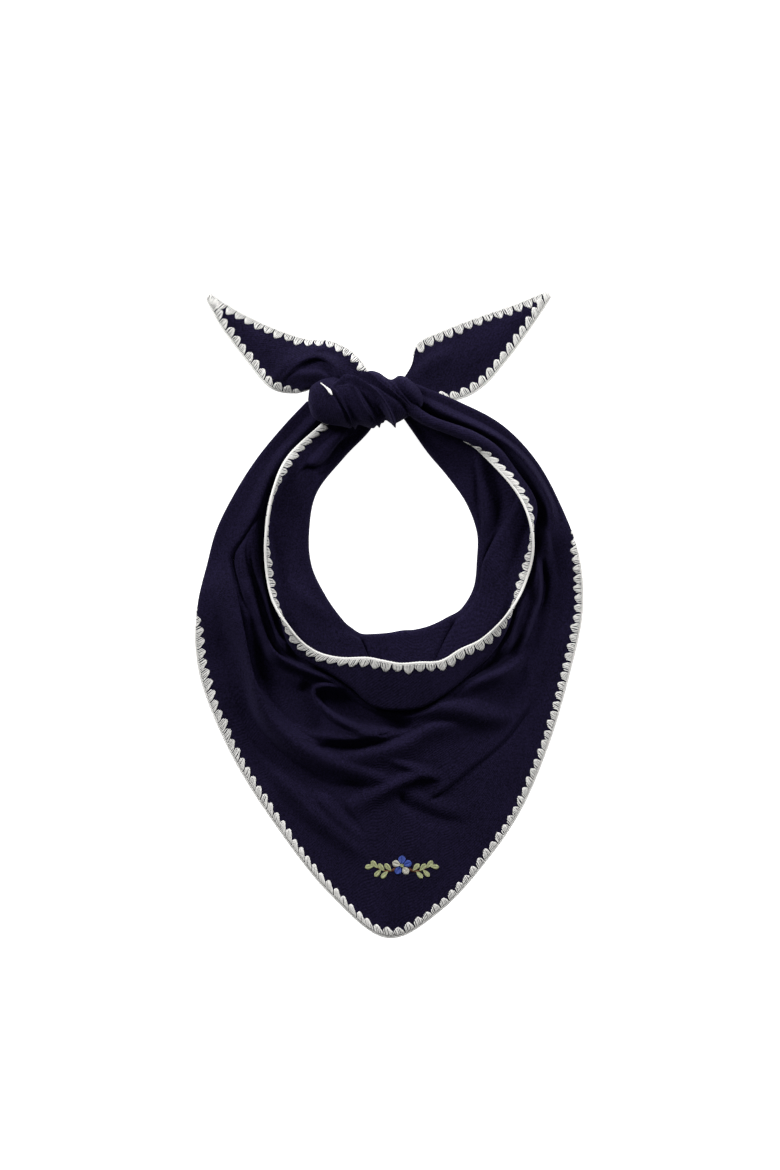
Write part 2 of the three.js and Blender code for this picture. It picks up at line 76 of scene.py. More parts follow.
# %% Node helper
def node(tree, kind, inputs=None, **options):
    """A node of that kind in the tree. Each input is a socket to link from or a plain value."""
    made = tree.nodes.new(kind)
    for name, value in options.items():
        setattr(made, name, value)
    for name, value in (inputs or {}).items():
        if isinstance(value, bpy.types.NodeSocket):
            tree.links.new(value, made.inputs[name])
        else:
            made.inputs[name].default_value = value
    return made


def maths(tree, operation, *values):
    """The result of a Math node on one to three sockets or numbers."""
    return node(tree, "ShaderNodeMath", dict(enumerate(values)), operation=operation).outputs[0]


def colour(r, g, b):
    """A linear colour with full opacity."""
    return (r, g, b, 1.0)


# %% [markdown]
# ## Floor and light
#
# The scarf lies on white paper in a bright, even room. Two soft square lamps stand high at the upper
# left and the upper right and graze the folds from both sides, so that each roll of this dark cloth is
# lit on its back while the crease beside it stays dark. A weak third lamp overhead lifts the flat
# parts. The paper glows a little itself, so that it stays plain white without a shadow.

# %% Floor and light
# place in metres, side in metres, watts
LAMPS = {
    "key_lamp": ((-1.4, 1.4, 1.15), 0.7, 46),
    "right_lamp": ((1.4, 1.5, 1.15), 0.7, 42),
    "top_lamp": ((0.4, 0.3, 2.4), 1.6, 2),
}
ROOM_LIGHT = 0.07  # strength of the light from all round
FLOOR_HALF = 4  # half the side of the floor, in metres
FLOOR_LEVEL = -0.0002  # a little under the scarf, in metres
PAPER = {"Base Color": colour(0.85, 0.85, 0.85), "Roughness": 0.9, "Emission Color": colour(1, 1, 1),
         "Emission Strength": 1.0}


def lamp(name, place, size, watts):
    """A square area lamp at place, turned towards the scarf in the middle."""
    light = bpy.data.lights.new(name, "AREA")
    light.size = size
    light.energy = watts
    made = bpy.data.objects.new(name, light)
    made.location = place
    direction = [-p for p in place]
    made.rotation_mode = "QUATERNION"
    made.rotation_quaternion = Vector(direction).to_track_quat("-Z", "Y")
    bpy.context.scene.collection.objects.link(made)
    return made


for name, (place, size, watts) in LAMPS.items():
    lamp(name, place, size, watts)

world = bpy.data.worlds.new("studio")
world.use_nodes = True
world.node_tree.nodes["Background"].inputs["Color"].default_value = colour(1, 1, 1)
world.node_tree.nodes["Background"].inputs["Strength"].default_value = ROOM_LIGHT
bpy.context.scene.world = world
bpy.context.scene.view_settings.view_transform = "Standard"

floor_mesh = bpy.data.meshes.new("floor")
corners = [(x * FLOOR_HALF, y * FLOOR_HALF, FLOOR_LEVEL) for x, y in ((-1, -1), (1, -1), (1, 1), (-1, 1))]
floor_mesh.from_pydata(corners, [], [(0, 1, 2, 3)])
floor = bpy.data.objects.new("floor", floor_mesh)
bpy.context.scene.collection.objects.link(floor)
paper = bpy.data.materials.new("white_paper")
paper.use_nodes = True
for name, value in PAPER.items():
    paper.node_tree.nodes["Principled BSDF"].inputs[name].default_value = value
floor_mesh.materials.append(paper)
print("lamps:", ", ".join(LAMPS))

# %% [markdown]
# ## Curves between measured places
#
# Most shapes here start as a short table of places, in the order in which the cloth runs. Two helpers
# turn such a table into something smooth: `ease` blends between two states, and `between` reads the
# table at any fraction of a row, on a curve that passes through every row.

# %% Helpers for curves
def ease(a, b, x):
    """0 below a and 1 above b. Between them 3t^2 - 2t^3, where t is the share of the way."""
    t = np.clip((x - a) / (b - a), 0, 1)
    return t * t * (3 - 2 * t)


def between(rows, at):
    """Rows of a table at fractional row numbers, on a curve through each row (Catmull-Rom)."""
    rows = np.asarray(rows, float)
    at = np.asarray(at, float)
    i = np.clip(np.floor(at).astype(int), 0, len(rows) - 2)
    f = (at - i)[..., None]
    a, b, c, d = (rows[np.clip(i + k, 0, len(rows) - 1)] for k in (-1, 0, 1, 2))
    return b + 0.5 * f * (c - a + f * (2 * a - 5 * b + 4 * c - d + f * (3 * (b - c) + d - a)))


def run_length(points):
    """Distance from the first point along a line of points, at each of them."""
    steps = np.linalg.norm(np.diff(points, axis=0), axis=-1)
    return np.concatenate([[0], np.cumsum(steps)])


def even_path(points, step):
    """The smooth curve through points, as points about one step apart."""
    dense = between(points, np.linspace(0, len(points) - 1, 12 * len(points)))
    along = run_length(dense[:, :2])
    count = max(int(along[-1] / step), 2) + 1
    at = np.linspace(0, along[-1], count)
    return np.stack([np.interp(at, along, dense[:, k]) for k in range(dense.shape[1])], -1)


def unit(v):
    """Vectors scaled to length 1."""
    return v / np.maximum(np.linalg.norm(v, axis=-1, keepdims=True), 1e-9)


# %% [markdown]
# ## Meshes from grids
#
# A sheet of cloth is a grid of points with a front and a back, half a thickness away on either side,
# joined round the border. A yarn is a ring of points carried along a path. Both are put into a mesh
# as whole arrays, which is fast enough for a hundred thousand faces.

# %% Mesh helpers
LEAST = 0.05  # the front of a sheet and the knot lie at least this high, in millimetres


def mesh_piece(name, points, faces, uv, materials, kinds=None):
    """An object from points in millimetres, a list of face arrays, and one UV pair per point."""
    mesh = bpy.data.meshes.new(name)
    counts = np.concatenate([np.full(len(f), f.shape[1]) for f in faces])
    corners = np.concatenate([f.ravel() for f in faces])
    mesh.vertices.add(len(points))
    mesh.vertices.foreach_set("co", (points * MM).astype(np.float32).ravel())
    mesh.loops.add(len(corners))
    mesh.loops.foreach_set("vertex_index", corners.astype(np.int32))
    mesh.polygons.add(len(counts))
    starts = np.concatenate([[0], np.cumsum(counts)[:-1]])
    mesh.polygons.foreach_set("loop_start", starts.astype(np.int32))
    mesh.polygons.foreach_set("loop_total", counts.astype(np.int32))
    mesh.polygons.foreach_set("use_smooth", np.ones(len(counts), bool))
    if kinds is not None:
        mesh.polygons.foreach_set("material_index", kinds.astype(np.int32))
    mesh.update(calc_edges=True)
    layer = mesh.uv_layers.new(name="flat")
    layer.data.foreach_set("uv", uv[corners].astype(np.float32).ravel())
    for material in materials:
        mesh.materials.append(material)
    made = bpy.data.objects.new(name, mesh)
    bpy.context.scene.collection.objects.link(made)
    triangles = int((counts - 2).sum())
    print(f"{name}: {triangles} triangles, from {points.min(0).round(1)} to {points.max(0).round(1)} mm")
    return made


def grid_normals(grid):
    """Unit normals of a grid: the step across a row crossed with the step from row to row."""
    across = np.gradient(grid, axis=1)
    along = np.gradient(grid, axis=0)
    return unit(np.cross(across, along))


def sheet_piece(name, grid, thick, uv, materials):
    """A sheet of cloth round a grid of points, with a front, a back and a border between them."""
    rows, cols = grid.shape[:2]
    away = grid_normals(grid) * thick / 2
    front, back = grid + away, grid - away
    front[..., 2] = np.maximum(front[..., 2], LEAST)
    back[..., 2] = np.maximum(back[..., 2], 0.0)
    number = np.arange(rows * cols).reshape(rows, cols)
    a, b, c, d = number[:-1, :-1], number[:-1, 1:], number[1:, 1:], number[1:, :-1]
    quads = np.stack([a, b, c, d], -1).reshape(-1, 4)
    rim = np.concatenate([number[0, :-1], number[:-1, -1], number[-1, :0:-1], number[:0:-1, 0]])
    after = np.roll(rim, -1)
    behind = rows * cols
    border = np.stack([after, rim, rim + behind, after + behind], -1)
    points = np.concatenate([front.reshape(-1, 3), back.reshape(-1, 3)])
    faces = [quads, quads[:, ::-1] + behind, border]
    both = np.concatenate([uv.reshape(-1, 2)] * 2)
    return mesh_piece(name, points, faces, both, materials)


def yarns(paths, ups, wide, tall, sides):
    """Closed yarns: an oval of half width wide and half height tall carried along each path.

    paths and ups are arrays of yarns, places and three coordinates; wide and tall are arrays of
    yarns and places. Each oval lies across the path, with its height along ups."""
    ahead = unit(np.gradient(paths, axis=1))
    side = unit(np.cross(ahead, ups))
    up = np.cross(side, ahead)
    turn = 2 * np.pi * np.arange(sides) / sides
    oval = (side[:, :, None] * (np.cos(turn)[:, None] * wide[:, :, None, None])
            + up[:, :, None] * (np.sin(turn)[:, None] * tall[:, :, None, None]))
    points = paths[:, :, None] + oval
    count, places = paths.shape[:2]
    number = np.arange(count * places * sides).reshape(count, places, sides)
    here, there = number[:, :-1], number[:, 1:]
    quads = np.stack([here, there, np.roll(there, -1, 2), np.roll(here, -1, 2)], -1)
    steps = np.linalg.norm(np.diff(paths, axis=1), axis=-1)
    along = np.concatenate([np.zeros((count, 1)), np.cumsum(steps, 1)], 1)
    uv = np.stack(np.broadcast_arrays(along[:, :, None] * MM, np.arange(sides) / sides), -1)
    faces = [quads.reshape(-1, 4), number[:, 0], number[:, -1, ::-1]]
    return points.reshape(-1, 3), faces, uv.reshape(-1, 2)


def joined(parts):
    """Several (points, faces, uv) as one."""
    shift, points, faces, uv = 0, [], [], []
    for p, f, t in parts:
        points.append(p)
        uv.append(t)
        faces += [x + shift for x in f]
        shift += len(p)
    return np.concatenate(points), faces, np.concatenate(uv)


# %% [markdown]
# ## The navy knit
#
# A fine rib knit is rows of little V-shaped loops. Seen from a distance the rows read as thin lines,
# and up close as a soft grain. The lines are drawn from the cloth's flat coordinates, which are stored
# as the UV map in metres, so that they bend with every fold. The effect is a node group, because the
# loop, the knot and the tails all use it.

# %% Knit group and material
WALE = 2.2 * MM  # distance between two rows of loops
COURSE = 1.7 * MM  # height of one loop
V_BEND = 2.4  # how far the middle of a loop runs ahead of its sides, in radians
WANDER = (0.0009, 0.0009, 0.0)  # how far the rows stray from straight lines, in metres
ROWS_HEIGHT, LOOPS_HEIGHT, FUZZ_HEIGHT = 0.36, 0.15, 0.9  # shares of the bump
# the two ends of the knit's tone: random grain, plus a slight painted shade in the grooves between the
# rows
NAVY_DARK, NAVY_LIGHT = colour(0.0014, 0.0009, 0.004), colour(0.0150, 0.0112, 0.038)
# almost no gloss, and a faint sheen for the soft nap
MATTE = {"Roughness": 0.92, "Specular IOR Level": 0.06, "Sheen Weight": 0.06, "Sheen Roughness": 0.55,
         "Sheen Tint": colour(0.3, 0.26, 0.7)}


def sockets(group, inputs):
    """The inputs of an effect group, and its two results: height for the bump and tone for the colour."""
    for name, kind in inputs.items():
        group.interface.new_socket(name, in_out="INPUT", socket_type=kind)
    for name in ("Height", "Tone"):
        group.interface.new_socket(name, in_out="OUTPUT", socket_type="NodeSocketFloat")


def knit_group():
    """Height and tone of a rib knit. Rows are a cosine across, loops a sine bent into a V along. The tone
    is random grain with a slight painted shade: the grooves between the rows are darker and their crests
    lighter.
    """
    group = bpy.data.node_groups.new("knit_rows", "ShaderNodeTree")
    sockets(group, inputs={"Flat": "NodeSocketVector", "Place": "NodeSocketVector"})
    start = node(group, "NodeGroupInput")
    wobble = node(group, "ShaderNodeTexNoise", {"Vector": start.outputs["Flat"], "Scale": 140.0,
                                                "Detail": 1.0})
    pushed = node(group, "ShaderNodeVectorMath", {0: wobble.outputs["Color"], 1: WANDER},
                  operation="MULTIPLY")
    moved = node(group, "ShaderNodeVectorMath", {0: start.outputs["Flat"], 1: pushed.outputs[0]},
                 operation="ADD")
    split = node(group, "ShaderNodeSeparateXYZ", {0: moved.outputs[0]})
    across = maths(group, "MULTIPLY", split.outputs["X"], 2 * np.pi / WALE)
    rows = maths(group, "COSINE", across)
    bend = maths(group, "ABSOLUTE", maths(group, "SINE", maths(group, "MULTIPLY", across, 0.5)))
    lean = maths(group, "MULTIPLY", bend, V_BEND)
    along = maths(group, "MULTIPLY", split.outputs["Y"], 2 * np.pi / COURSE)
    loops = maths(group, "SINE", maths(group, "ADD", along, lean))
    fuzz = node(group, "ShaderNodeTexNoise", {"Vector": start.outputs["Place"], "Scale": 700.0,
                                              "Detail": 3.0, "Roughness": 0.65})
    cloud = node(group, "ShaderNodeTexNoise", {"Vector": start.outputs["Place"], "Scale": 22.0,
                                               "Detail": 2.0, "Roughness": 0.5})
    height = maths(group, "ADD", maths(group, "MULTIPLY", rows, ROWS_HEIGHT),
                   maths(group, "MULTIPLY", loops, LOOPS_HEIGHT))
    height = maths(group, "ADD", height, maths(group, "MULTIPLY", fuzz.outputs["Fac"], FUZZ_HEIGHT))
    tone = maths(group, "MULTIPLY_ADD", fuzz.outputs["Fac"], 2.4, -0.95)
    # painted shade: the colour follows the rows' height, darker in the grooves between them and lighter
    # on their crests
    tone = maths(group, "ADD", tone, maths(group, "MULTIPLY", rows, 0.05))
    tone = maths(group, "ADD", tone, maths(group, "MULTIPLY", cloud.outputs["Fac"], 0.5))
    tone = node(group, "ShaderNodeClamp", {"Value": tone})
    node(group, "NodeGroupOutput", {"Height": height, "Tone": tone.outputs[0]})
    return group


def finish(name, group, dark, light, bump, shader_values, group_values):
    """A finish from an effect group: its tone mixes two colours, its height is the bump. The tone holds
    random grain and painted shade in the grooves.

    bump is the strength and the distance in metres; the values are set on the shader and the group."""
    made = bpy.data.materials.new(name)
    made.use_nodes = True
    tree = made.node_tree
    shader = tree.nodes["Principled BSDF"]
    where = node(tree, "ShaderNodeTexCoord")
    effect = node(tree, "ShaderNodeGroup", {}, node_tree=group)
    tree.links.new(where.outputs["UV"], effect.inputs["Flat"])
    tree.links.new(where.outputs["Object"], effect.inputs["Place"])
    # the effect's tone mixes dark and light: random grain together with painted shade in the grooves
    mixed = node(tree, "ShaderNodeMix", {"Factor": effect.outputs["Tone"]}, data_type="RGBA")
    mixed.inputs["A"].default_value = dark
    mixed.inputs["B"].default_value = light
    raised = node(tree, "ShaderNodeBump", {"Height": effect.outputs["Height"], "Strength": bump[0],
                                           "Distance": bump[1]})
    tree.links.new(mixed.outputs["Result"], shader.inputs["Base Color"])
    tree.links.new(raised.outputs["Normal"], shader.inputs["Normal"])
    for target, values in ((shader, shader_values), (effect, group_values)):
        for key, value in values.items():
            target.inputs[key].default_value = value
    return made


navy_knit = finish("navy_knit", knit_group(), NAVY_DARK, NAVY_LIGHT, (0.55, 0.0005), MATTE, {})
print("material:", navy_knit.name)

# %% [markdown]
# ## Yarn and embroidery thread
#
# The edging yarn is thick and soft with a slow twist, and the embroidery thread is finer and has the
# gloss of satin stitch. Both take the same twist group, with other values: lines that wind round the yarn
# as its UV map counts the length in metres and the way round from 0 to 1. The grooves between these lines
# are coloured darker, a painted shade.

# %% Twist group, yarn and thread materials
EDGING_TWIST, THREAD_TWIST = 0.0024, 0.0012  # length of one turn of the plies, in metres
YARN_BUMP = (0.5, 0.0002)


def twist_group():
    """Height and tone of plied yarn: a sine of the length over the pitch plus the way round. The tone
    follows the height: random fuzz, and a painted shade that darkens the grooves between the plies.
    """
    group = bpy.data.node_groups.new("yarn_twist", "ShaderNodeTree")
    sockets(group, inputs={"Flat": "NodeSocketVector", "Place": "NodeSocketVector",
                           "Pitch": "NodeSocketFloat"})
    start = node(group, "NodeGroupInput")
    split = node(group, "ShaderNodeSeparateXYZ", {0: start.outputs["Flat"]})
    turns = maths(group, "ADD", maths(group, "DIVIDE", split.outputs["X"], start.outputs["Pitch"]),
                  split.outputs["Y"])
    plies = maths(group, "SINE", maths(group, "MULTIPLY", turns, 4 * np.pi))
    fuzz = node(group, "ShaderNodeTexNoise", {"Vector": start.outputs["Place"], "Scale": 1400.0,
                                              "Detail": 2.0})
    height = maths(group, "ADD", maths(group, "MULTIPLY", plies, 0.5), fuzz.outputs["Fac"])
    # painted shade: the colour follows the height, so the grooves between the plies are darker; the fuzz
    # adds random tone
    tone = node(group, "ShaderNodeClamp", {"Value": maths(group, "MULTIPLY_ADD", height, 0.4, 0.3)})
    node(group, "NodeGroupOutput", {"Height": height, "Tone": tone.outputs[0]})
    return group


twist = twist_group()
# dark and light ends of the yarn's tone: random fuzz, plus painted shade in the grooves between the plies
edging_yarn = finish("edging_yarn", twist, colour(0.84, 0.83, 0.80), colour(0.95, 0.94, 0.92), YARN_BUMP,
                     {"Roughness": 0.85, "Sheen Weight": 0.15}, {"Pitch": EDGING_TWIST})
# each thread's dark and light ends of the same tone, with the same painted shade in the ply grooves
THREADS = {
    "petal_blue": (colour(0.03, 0.06, 0.32), colour(0.07, 0.13, 0.55)),
    "petal_cream": (colour(0.50, 0.48, 0.42), colour(0.72, 0.70, 0.62)),
    "leaf_green": (colour(0.33, 0.36, 0.15), colour(0.62, 0.65, 0.38)),
    "twig_brown": (colour(0.10, 0.03, 0.012), colour(0.23, 0.08, 0.03)),
}
thread_finishes = [finish(name, twist, dark, light, YARN_BUMP, {"Roughness": 0.45, "Sheen Weight": 0.0},
                          {"Pitch": THREAD_TWIST}) for name, (dark, light) in THREADS.items()]
print("materials:", edging_yarn.name, *THREADS)

# %% [markdown]
# ## The loop of cloth
#
# The loop is one sheet folded in a Z. From its stitched long edge the cloth turns down into an inner
# layer, folds back at the neck opening, runs under itself, comes out as the bib and the outer band,
# and ends at the stitched rim, which is tucked under in the upper half. Such a shape is easiest to
# give by its cross sections. Each row below is one section, a straight line in plan from the neck
# opening to the rim, and the sheet is read between the rows.

# %% Sections of the loop
CLOTH = 1.6  # thickness of the cloth
HOLE_FOLD = 3.5  # radius of the fold round the neck opening
LAYER_RISE = 5  # how much the inner layer climbs from the neck opening to the turned hem
ROLL = 9  # length of cloth in the turned-under rim
RIM_SQUASH = 0.6  # height of that turn beside its true circle
EDGE_REST = 0.9  # the stitched rim lies this much higher, on its own stitches

# hem: distance from the opening to the stitched hem; turn, curl, flap: the angle, length and straight
# rest of the turned-up hem strip; band: height of the outer roll; crest: share of the outer layer at
# which the roll is highest; fold, tuck: the angle and length of the rim that is turned under; lift:
# height of the whole section over the floor.
SECTION_COLUMNS = ("hole_x", "hole_y", "rim_x", "rim_y", "hem", "turn", "curl", "flap", "band", "crest",
                   "fold", "tuck", "lift")
SECTIONS = [
    (-14, 187, -74, 190, 26, 10, 9, 10, 10, 0.3, 180, 12, 1),
    (-17, 167, -94, 169, 44, 10, 9, 10, 11, 0.3, 180, 14, 0),
    (-41, 141, -118, 140, 49, 14, 9, 10, 12, 0.25, 180, 12, 0),
    (-66, 109, -138, 109, 38, 82, 9, 10, 12, 0.25, 180, 18, 0),
    (-73, 75, -155, 75, 37, 88, 9, 10, 10, 0.3, 180, 22, 0),
    (-71, 43, -164, 42, 39, 55, 9, 10, 9, 0.35, 180, 18, 0),
    (-58, 15, -172, 6, 46, 62, 9, 10, 8, 0.45, 100, 10, 0),
    (-43, -6, -173, -33, 46, 125, 9, 10, 7, 0.5, 15, 10, 0),
    (-34, -14, -164, -74, 42, 158, 9, 10, 6, 0.4, 0, 10, 0),
    (-25, -19, -137, -134, 30, 168, 9, 13, 8, 0.15, 0, 10, 0),
    (-12, -19, -97, -196, 24, 169, 9, 26, 9, 0.12, 0, 10, 0),
    (0, -18, -54, -250, 26, 166, 9, 39, 9, 0.12, 0, 10, 0),
    (11, -16, -3, -290, 30, 166, 9, 39, 9, 0.12, 0, 10, 0),
    (24, -15, 45, -266, 30, 166, 9, 37, 9, 0.12, 0, 10, 0),
    (38, -11, 88, -219, 33.5, 168, 9, 25, 9, 0.12, 0, 10, 0),
    (52, -4, 119, -172, 31.5, 166, 9, 20, 9, 0.12, 0, 10, 0),
    (65, 4, 143, -114, 33, 160, 9, 13, 10, 0.12, 0, 10, 0),
    (76, 23, 160, -56, 38, 118, 9, 10, 11, 0.12, 0, 10, 0),
    (79, 48, 172, 1, 46, 40, 9, 10, 12, 0.15, 0, 10, 0),
    (79, 73, 169, 52, 50, 72, 9, 10, 12, 0.3, 40, 10, 0),
    (69, 100, 153, 97, 51, 142, 10, 12, 14, 0.6, 180, 3, 0),
    (52, 124, 131, 137, 44, 175, 16, 9, 15, 0.6, 180, 3, 0),
    (35, 144, 100, 169, 34, 295, 36, 3, 15, 0.3, 180, 3, 4),
    (20, 165, 60, 190, 14, 320, 30, 3, 13, 0.35, 180, 3, 8),
    (6, 185, 15, 208, 6, 320, 24, 3, 8, 0.35, 180, 3, 10),
]
print("sections of the loop:", len(SECTIONS))

# %% [markdown]
# ## Folds
#
# A fold of soft cloth is a crest with two flanks, often pushed over to one side until it hangs over a
# dark hollow. Each fold here is a short table of places along its crest, with the height, the width
# of either flank and the lean at each. The distance of every point of the cloth from the crest gives
# its rise, a bell curve, and the lean moves it sideways by a share of that rise. The places are read
# off a square grid of 0.9 mm laid over the plan, counted from its top left corner. The bib has the
# long folds that hang from the neck opening and the short ones where they run into each other.

# %% Folds of the bib and the outer band
# column, row, height, width of the left and of the right flank seen along the crest, lean to the left;
# the lean is left out where the crest stands upright, and then the right width where it is like the left
BIB_FOLDS = {
    "main left fold": [
        (271, 486, 0, 3, 10, 0.4), (259, 511, 1.5, 3, 12, 0.4), (245, 533, 2, 3, 13, 0.45),
        (230, 553, 4, 3, 14, 0.5), (231, 573, 5, 3, 15, 0.55), (238, 600, 8, 3.5, 16, 0.6),
        (246, 640, 15, 4, 16, 0.6), (252, 668, 19, 4.5, 17, 0.5), (259, 690, 20, 5, 18, 0.3),
        (268, 711, 19, 6, 18, 0.1), (281, 729, 17, 7, 18), (300, 744, 15, 8, 18), (320, 756, 12, 8, 16),
        (340, 765, 9, 8, 13), (360, 771, 6, 7, 10), (378, 777, 4, 6, 8), (392, 783, 0, 5, 6)],
    "second left fold": [
        (248, 532, 0, 3, 7, 0.3), (244, 552, 2.5, 3, 10, 0.4), (249, 575, 5, 3, 12, 0.5),
        (256, 600, 8, 3, 12, 0.5), (263, 625, 12, 3, 10, 0.5), (270, 643, 15, 3.5, 7, 0.5),
        (279, 655, 16, 4, 4, 0.3), (294, 664, 14, 4, 4, 0.2), (313, 672, 11, 4, 4, 0.1),
        (331, 679, 8, 4), (350, 690, 4, 4), (366, 702, 0, 4)],
    "third left fold": [
        (262, 518, 0, 3, 6, 0.2), (258, 545, 3, 3, 7, 0.3), (261, 570, 5, 3, 8, 0.4),
        (267, 600, 8, 3, 8, 0.4), (274, 625, 9, 3, 8, 0.4), (283, 641, 13, 4, 7, 0.3),
        (300, 651, 13, 6, 7), (318, 661, 11, 5, 6), (332, 670, 8, 5), (344, 679, 0, 5)],
    "swirl": [
        (352, 691, 0, 3), (339, 687, 6, 3), (326, 685, 10, 3), (316, 689, 13, 3, 3.5),
        (317, 699, 14, 3, 3.5), (326, 710, 14, 3, 3.5), (338, 719, 13, 3, 3.5), (352, 726, 11, 3, 3.5),
        (366, 731, 8, 3, 4), (380, 735, 5, 3, 4), (394, 738, 0, 3, 4)],
    "shelf": [
        (292, 722, 0, 5, 6, -0.3), (310, 732, 4, 5, 6, -0.3), (330, 737, 6, 5, 5, -0.4),
        (350, 738, 7, 6, 4, -0.5), (369, 736, 7, 6, 4, -0.5), (385, 731, 6, 6, 4, -0.4),
        (397, 725, 0, 6, 4, -0.3)],
    "middle fold": [
        (310, 752, 0, 4, 12), (330, 757, 3, 4, 14), (350, 757, 5, 4, 15), (370, 753, 6, 4, 15),
        (390, 748, 6, 4, 14), (407, 742, 6, 4, 13), (421, 733, 6, 4, 12), (433, 727, 6, 4, 12),
        (449, 725, 4, 5, 12), (466, 728, 0, 6, 12)],
    "fold under the flap": [
        (396, 717, 0, 5, 7), (411, 712, 5, 5, 9, -0.1), (427, 708, 8, 5, 11, -0.1),
        (442, 706, 10, 6, 13, -0.1), (458, 708, 10, 7, 14, -0.1), (474, 712, 9, 8, 14),
        (490, 716, 7, 8, 12), (505, 717, 4, 8, 10), (519, 712, 0, 8)],
    "upper right fold": [
        (438, 702, 0, 4, 7), (454, 691, 5, 4, 9), (470, 682, 7, 4, 10), (487, 677, 8, 4, 10),
        (503, 672, 8, 4, 8), (516, 664, 6, 4, 6), (526, 651, 0, 4, 5)],
    "ridge beside the hem": [
        (530, 588, 0, 3, 4), (520, 606, 5, 3, 4), (513, 625, 7, 3, 4), (507, 643, 7, 4, 5),
        (496, 656, 5, 5), (482, 667, 0, 5)],
    "second ridge": [
        (542, 585, 0, 3), (534, 606, 5, 3), (527, 628, 7, 3, 4), (520, 645, 5, 3, 4),
        (514, 656, 0, 3, 4)],
    "tongue": [
        (536, 548, 0, 4, 5, 0.2), (535, 565, 6, 4, 6, 0.2), (538, 582, 8, 4, 6, 0.2),
        (538, 597, 6, 4, 6, 0.2), (534, 612, 0, 4, 5, 0.2)],
    "main right fold": [
        (533, 503, 0, 4, 5, 0.3), (542, 525, 3, 4, 6, 0.3), (549, 550, 4, 4, 7, 0.3),
        (553, 575, 4, 8, 8, 0.1), (552, 600, 4, 12, 10), (547, 630, 4, 14, 12), (540, 660, 3.5, 14),
        (533, 690, 3, 10, 16, 0.1), (524, 710, 2.5, 5, 18, 0.3), (513, 728, 2, 3, 18, 0.5),
        (500, 744, 2, 2.5, 18, 0.5), (486, 757, 2, 2.5, 18, 0.5), (468, 770, 2.2, 2.5, 16, 0.5),
        (450, 785, 2.6, 3, 12, 0.5), (436, 794, 3, 3, 10, 0.4), (424, 800, 0, 3, 8, 0.3)],
    "hooked fold": [
        (324, 806, 0, 7, 11), (342, 809, 2, 7, 12), (358, 803, 3, 6, 11), (376, 794, 4.5, 5, 9, -0.1),
        (393, 786, 6, 5, 7, -0.2), (408, 780, 7, 5, 4.5, -0.4), (422, 776, 7, 5, 4, -0.5),
        (434, 777, 5, 4, 4, -0.3), (443, 781, 0, 4)],
    "low right fold": [
        (404, 788, 0, 5), (419, 797, 3, 6, 7, -0.1), (434, 804, 3.5, 7, 9, -0.1), (450, 809, 3, 7, 10),
        (470, 815, 0, 8, 10)],
    "small fold": [
        (382, 757, 0, 4), (397, 762, 4, 4), (411, 767, 5, 4), (425, 773, 5, 4), (437, 780, 0, 4)],
    "wedge": [
        (312, 786, 0, 6), (322, 800, 3, 7), (334, 815, 4, 8, 7), (350, 828, 3, 8), (368, 840, 0, 8)],
    "border fold": [
        (228, 705, 0, 8), (244, 745, 5, 9), (265, 770, 6, 9, 10), (288, 790, 6, 9, 10),
        (308, 809, 6, 9, 10), (328, 826, 5, 9), (348, 843, 4, 9), (370, 860, 0, 9)],
}
print("folds:", ", ".join(BIB_FOLDS))

# %% [markdown]
# Beside the folds the cloth drops into hollows, and these are what looks almost black in the picture.
# They are given in the same way, with a depth in place of the height, and taken away from the rise.

